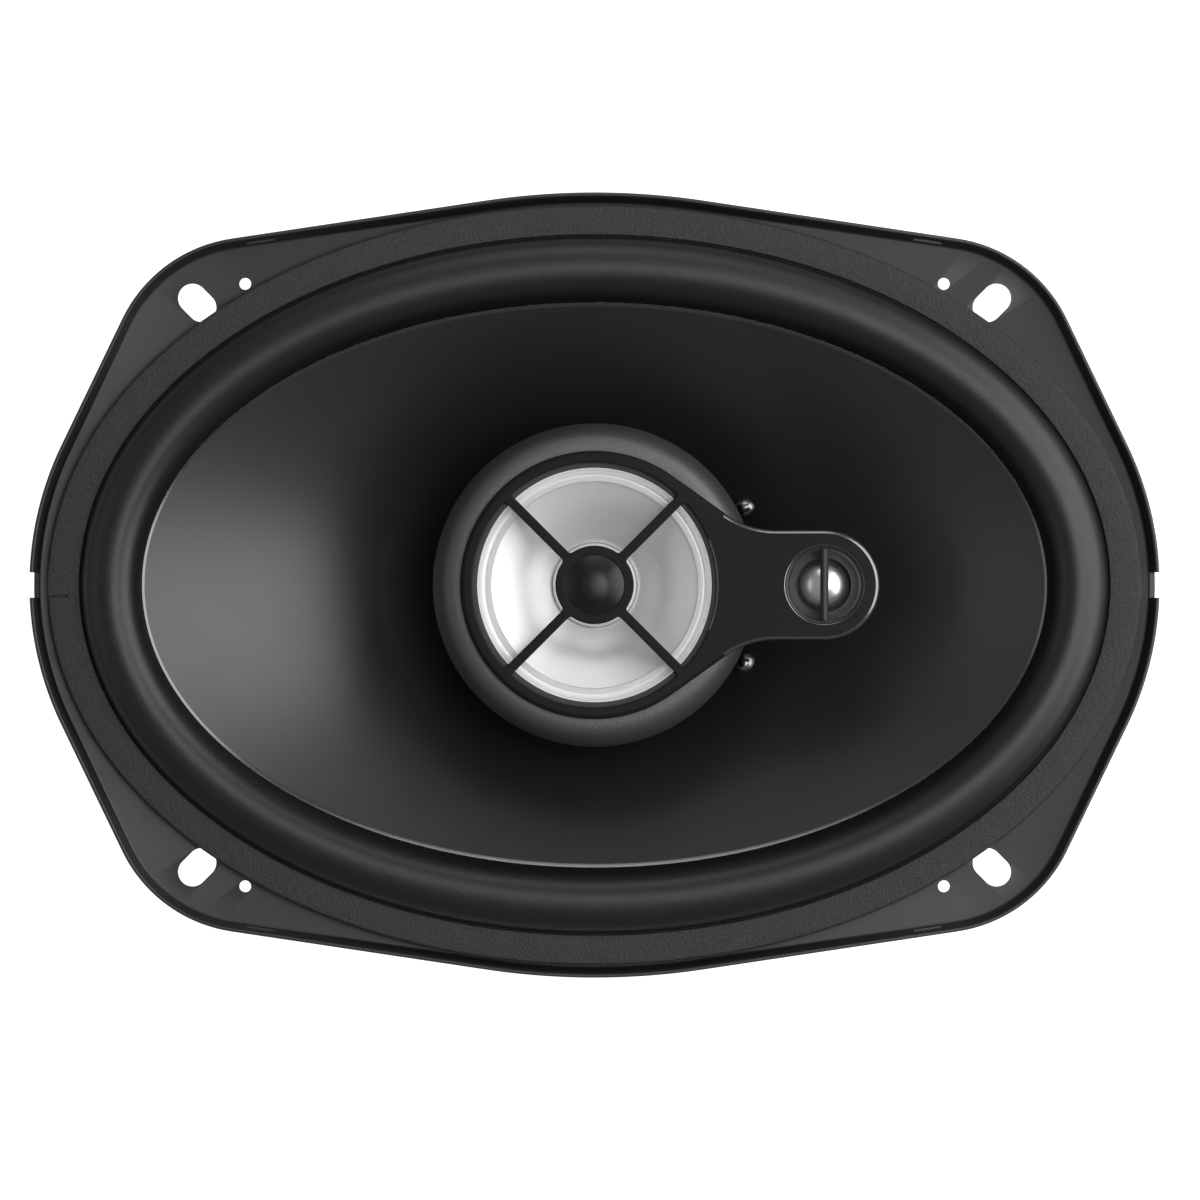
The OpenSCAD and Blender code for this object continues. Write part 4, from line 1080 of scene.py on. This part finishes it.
def make_stage():
    """A pale floor just under the magnet, bright enough to read as plain white."""
    size, gap = 6.0, 0.0002
    mesh = bpy.data.meshes.new("floor")
    corners = [(-size, -size), (size, -size), (size, size), (-size, size)]
    mesh.from_pydata([(x, y, cad_box[0].z - gap) for x, y in corners], [], [(0, 1, 2, 3)])
    floor = add_object("floor", mesh)
    material = bpy.data.materials.new("floor")
    material.use_nodes = True
    shade = material.node_tree.nodes["Principled BSDF"]
    shade.inputs["Base Color"].default_value = (0.5, 0.5, 0.5, 1)
    shade.inputs["Roughness"].default_value = 0.9
    shade.inputs["Specular IOR Level"].default_value = 0.1
    shade.inputs["Emission Color"].default_value = (1, 1, 1, 1)
    shade.inputs["Emission Strength"].default_value = 1.0
    mesh.materials.append(material)


def softbox(name, direction, distance, width, height, radiance, shape):
    """A softbox in a direction given as (angle from +X, angle from straight up), facing the origin."""
    azimuth, polar = (math.radians(a) for a in direction)
    out = math.sin(polar)
    toward = Vector((out * math.cos(azimuth), out * math.sin(azimuth), math.cos(polar)))
    light = bpy.data.lights.new(name, "AREA")
    light.shape = shape
    light.size, light.size_y = width, height
    area = width * height * (math.pi / 4 if shape == "ELLIPSE" else 1)
    light.energy = radiance * math.pi * area
    lamp = bpy.data.objects.new(name, light)
    lamp.location = toward * distance
    lamp.rotation_mode = "QUATERNION"
    lamp.rotation_quaternion = (-toward).to_track_quat("-Z", "Y")
    scene.collection.objects.link(lamp)


def make_lights():
    softbox("key", (12, 52), 0.7, 0.95, 0.6, 2.6, "ELLIPSE")
    softbox("overhead", (14, 13), 1.9, 1.0, 0.75, 4.0, "ELLIPSE")
    softbox("back", (90, 50), 1.1, 0.6, 0.4, 1.6, "ELLIPSE")
    softbox("left_fill", (178, 52), 1.3, 0.8, 0.4, 0.5, "RECTANGLE")
    world = bpy.data.worlds.new("studio")
    world.use_nodes = True
    world.node_tree.nodes["Background"].inputs["Color"].default_value = (0.2, 0.2, 0.2, 1)
    world.node_tree.nodes["Background"].inputs["Strength"].default_value = 1.0
    scene.world = world


def make_camera():
    """Straight above the middle, view_w metres wide at the flange's level."""
    distance, view_w, sensor = 1.5, 0.25146, 36.0
    data = bpy.data.cameras.new("camera")
    data.sensor_width = sensor
    data.lens = sensor * distance / view_w
    data.clip_start, data.clip_end = 0.1, 20.0
    camera = bpy.data.objects.new("camera", data)
    camera.location = (0.00115, -0.00314, distance + 5.0 * MM)
    scene.collection.objects.link(camera)
    scene.camera = camera


make_camera()
make_basket()
make_gasket()
make_surround()
make_spider()
make_cone()
make_cone_rim()
make_glue_line()
make_pod()
make_front_plate()
make_midrange()
make_tweeter()
make_leads()
make_joints()
dress_all()
make_stage()
make_lights()
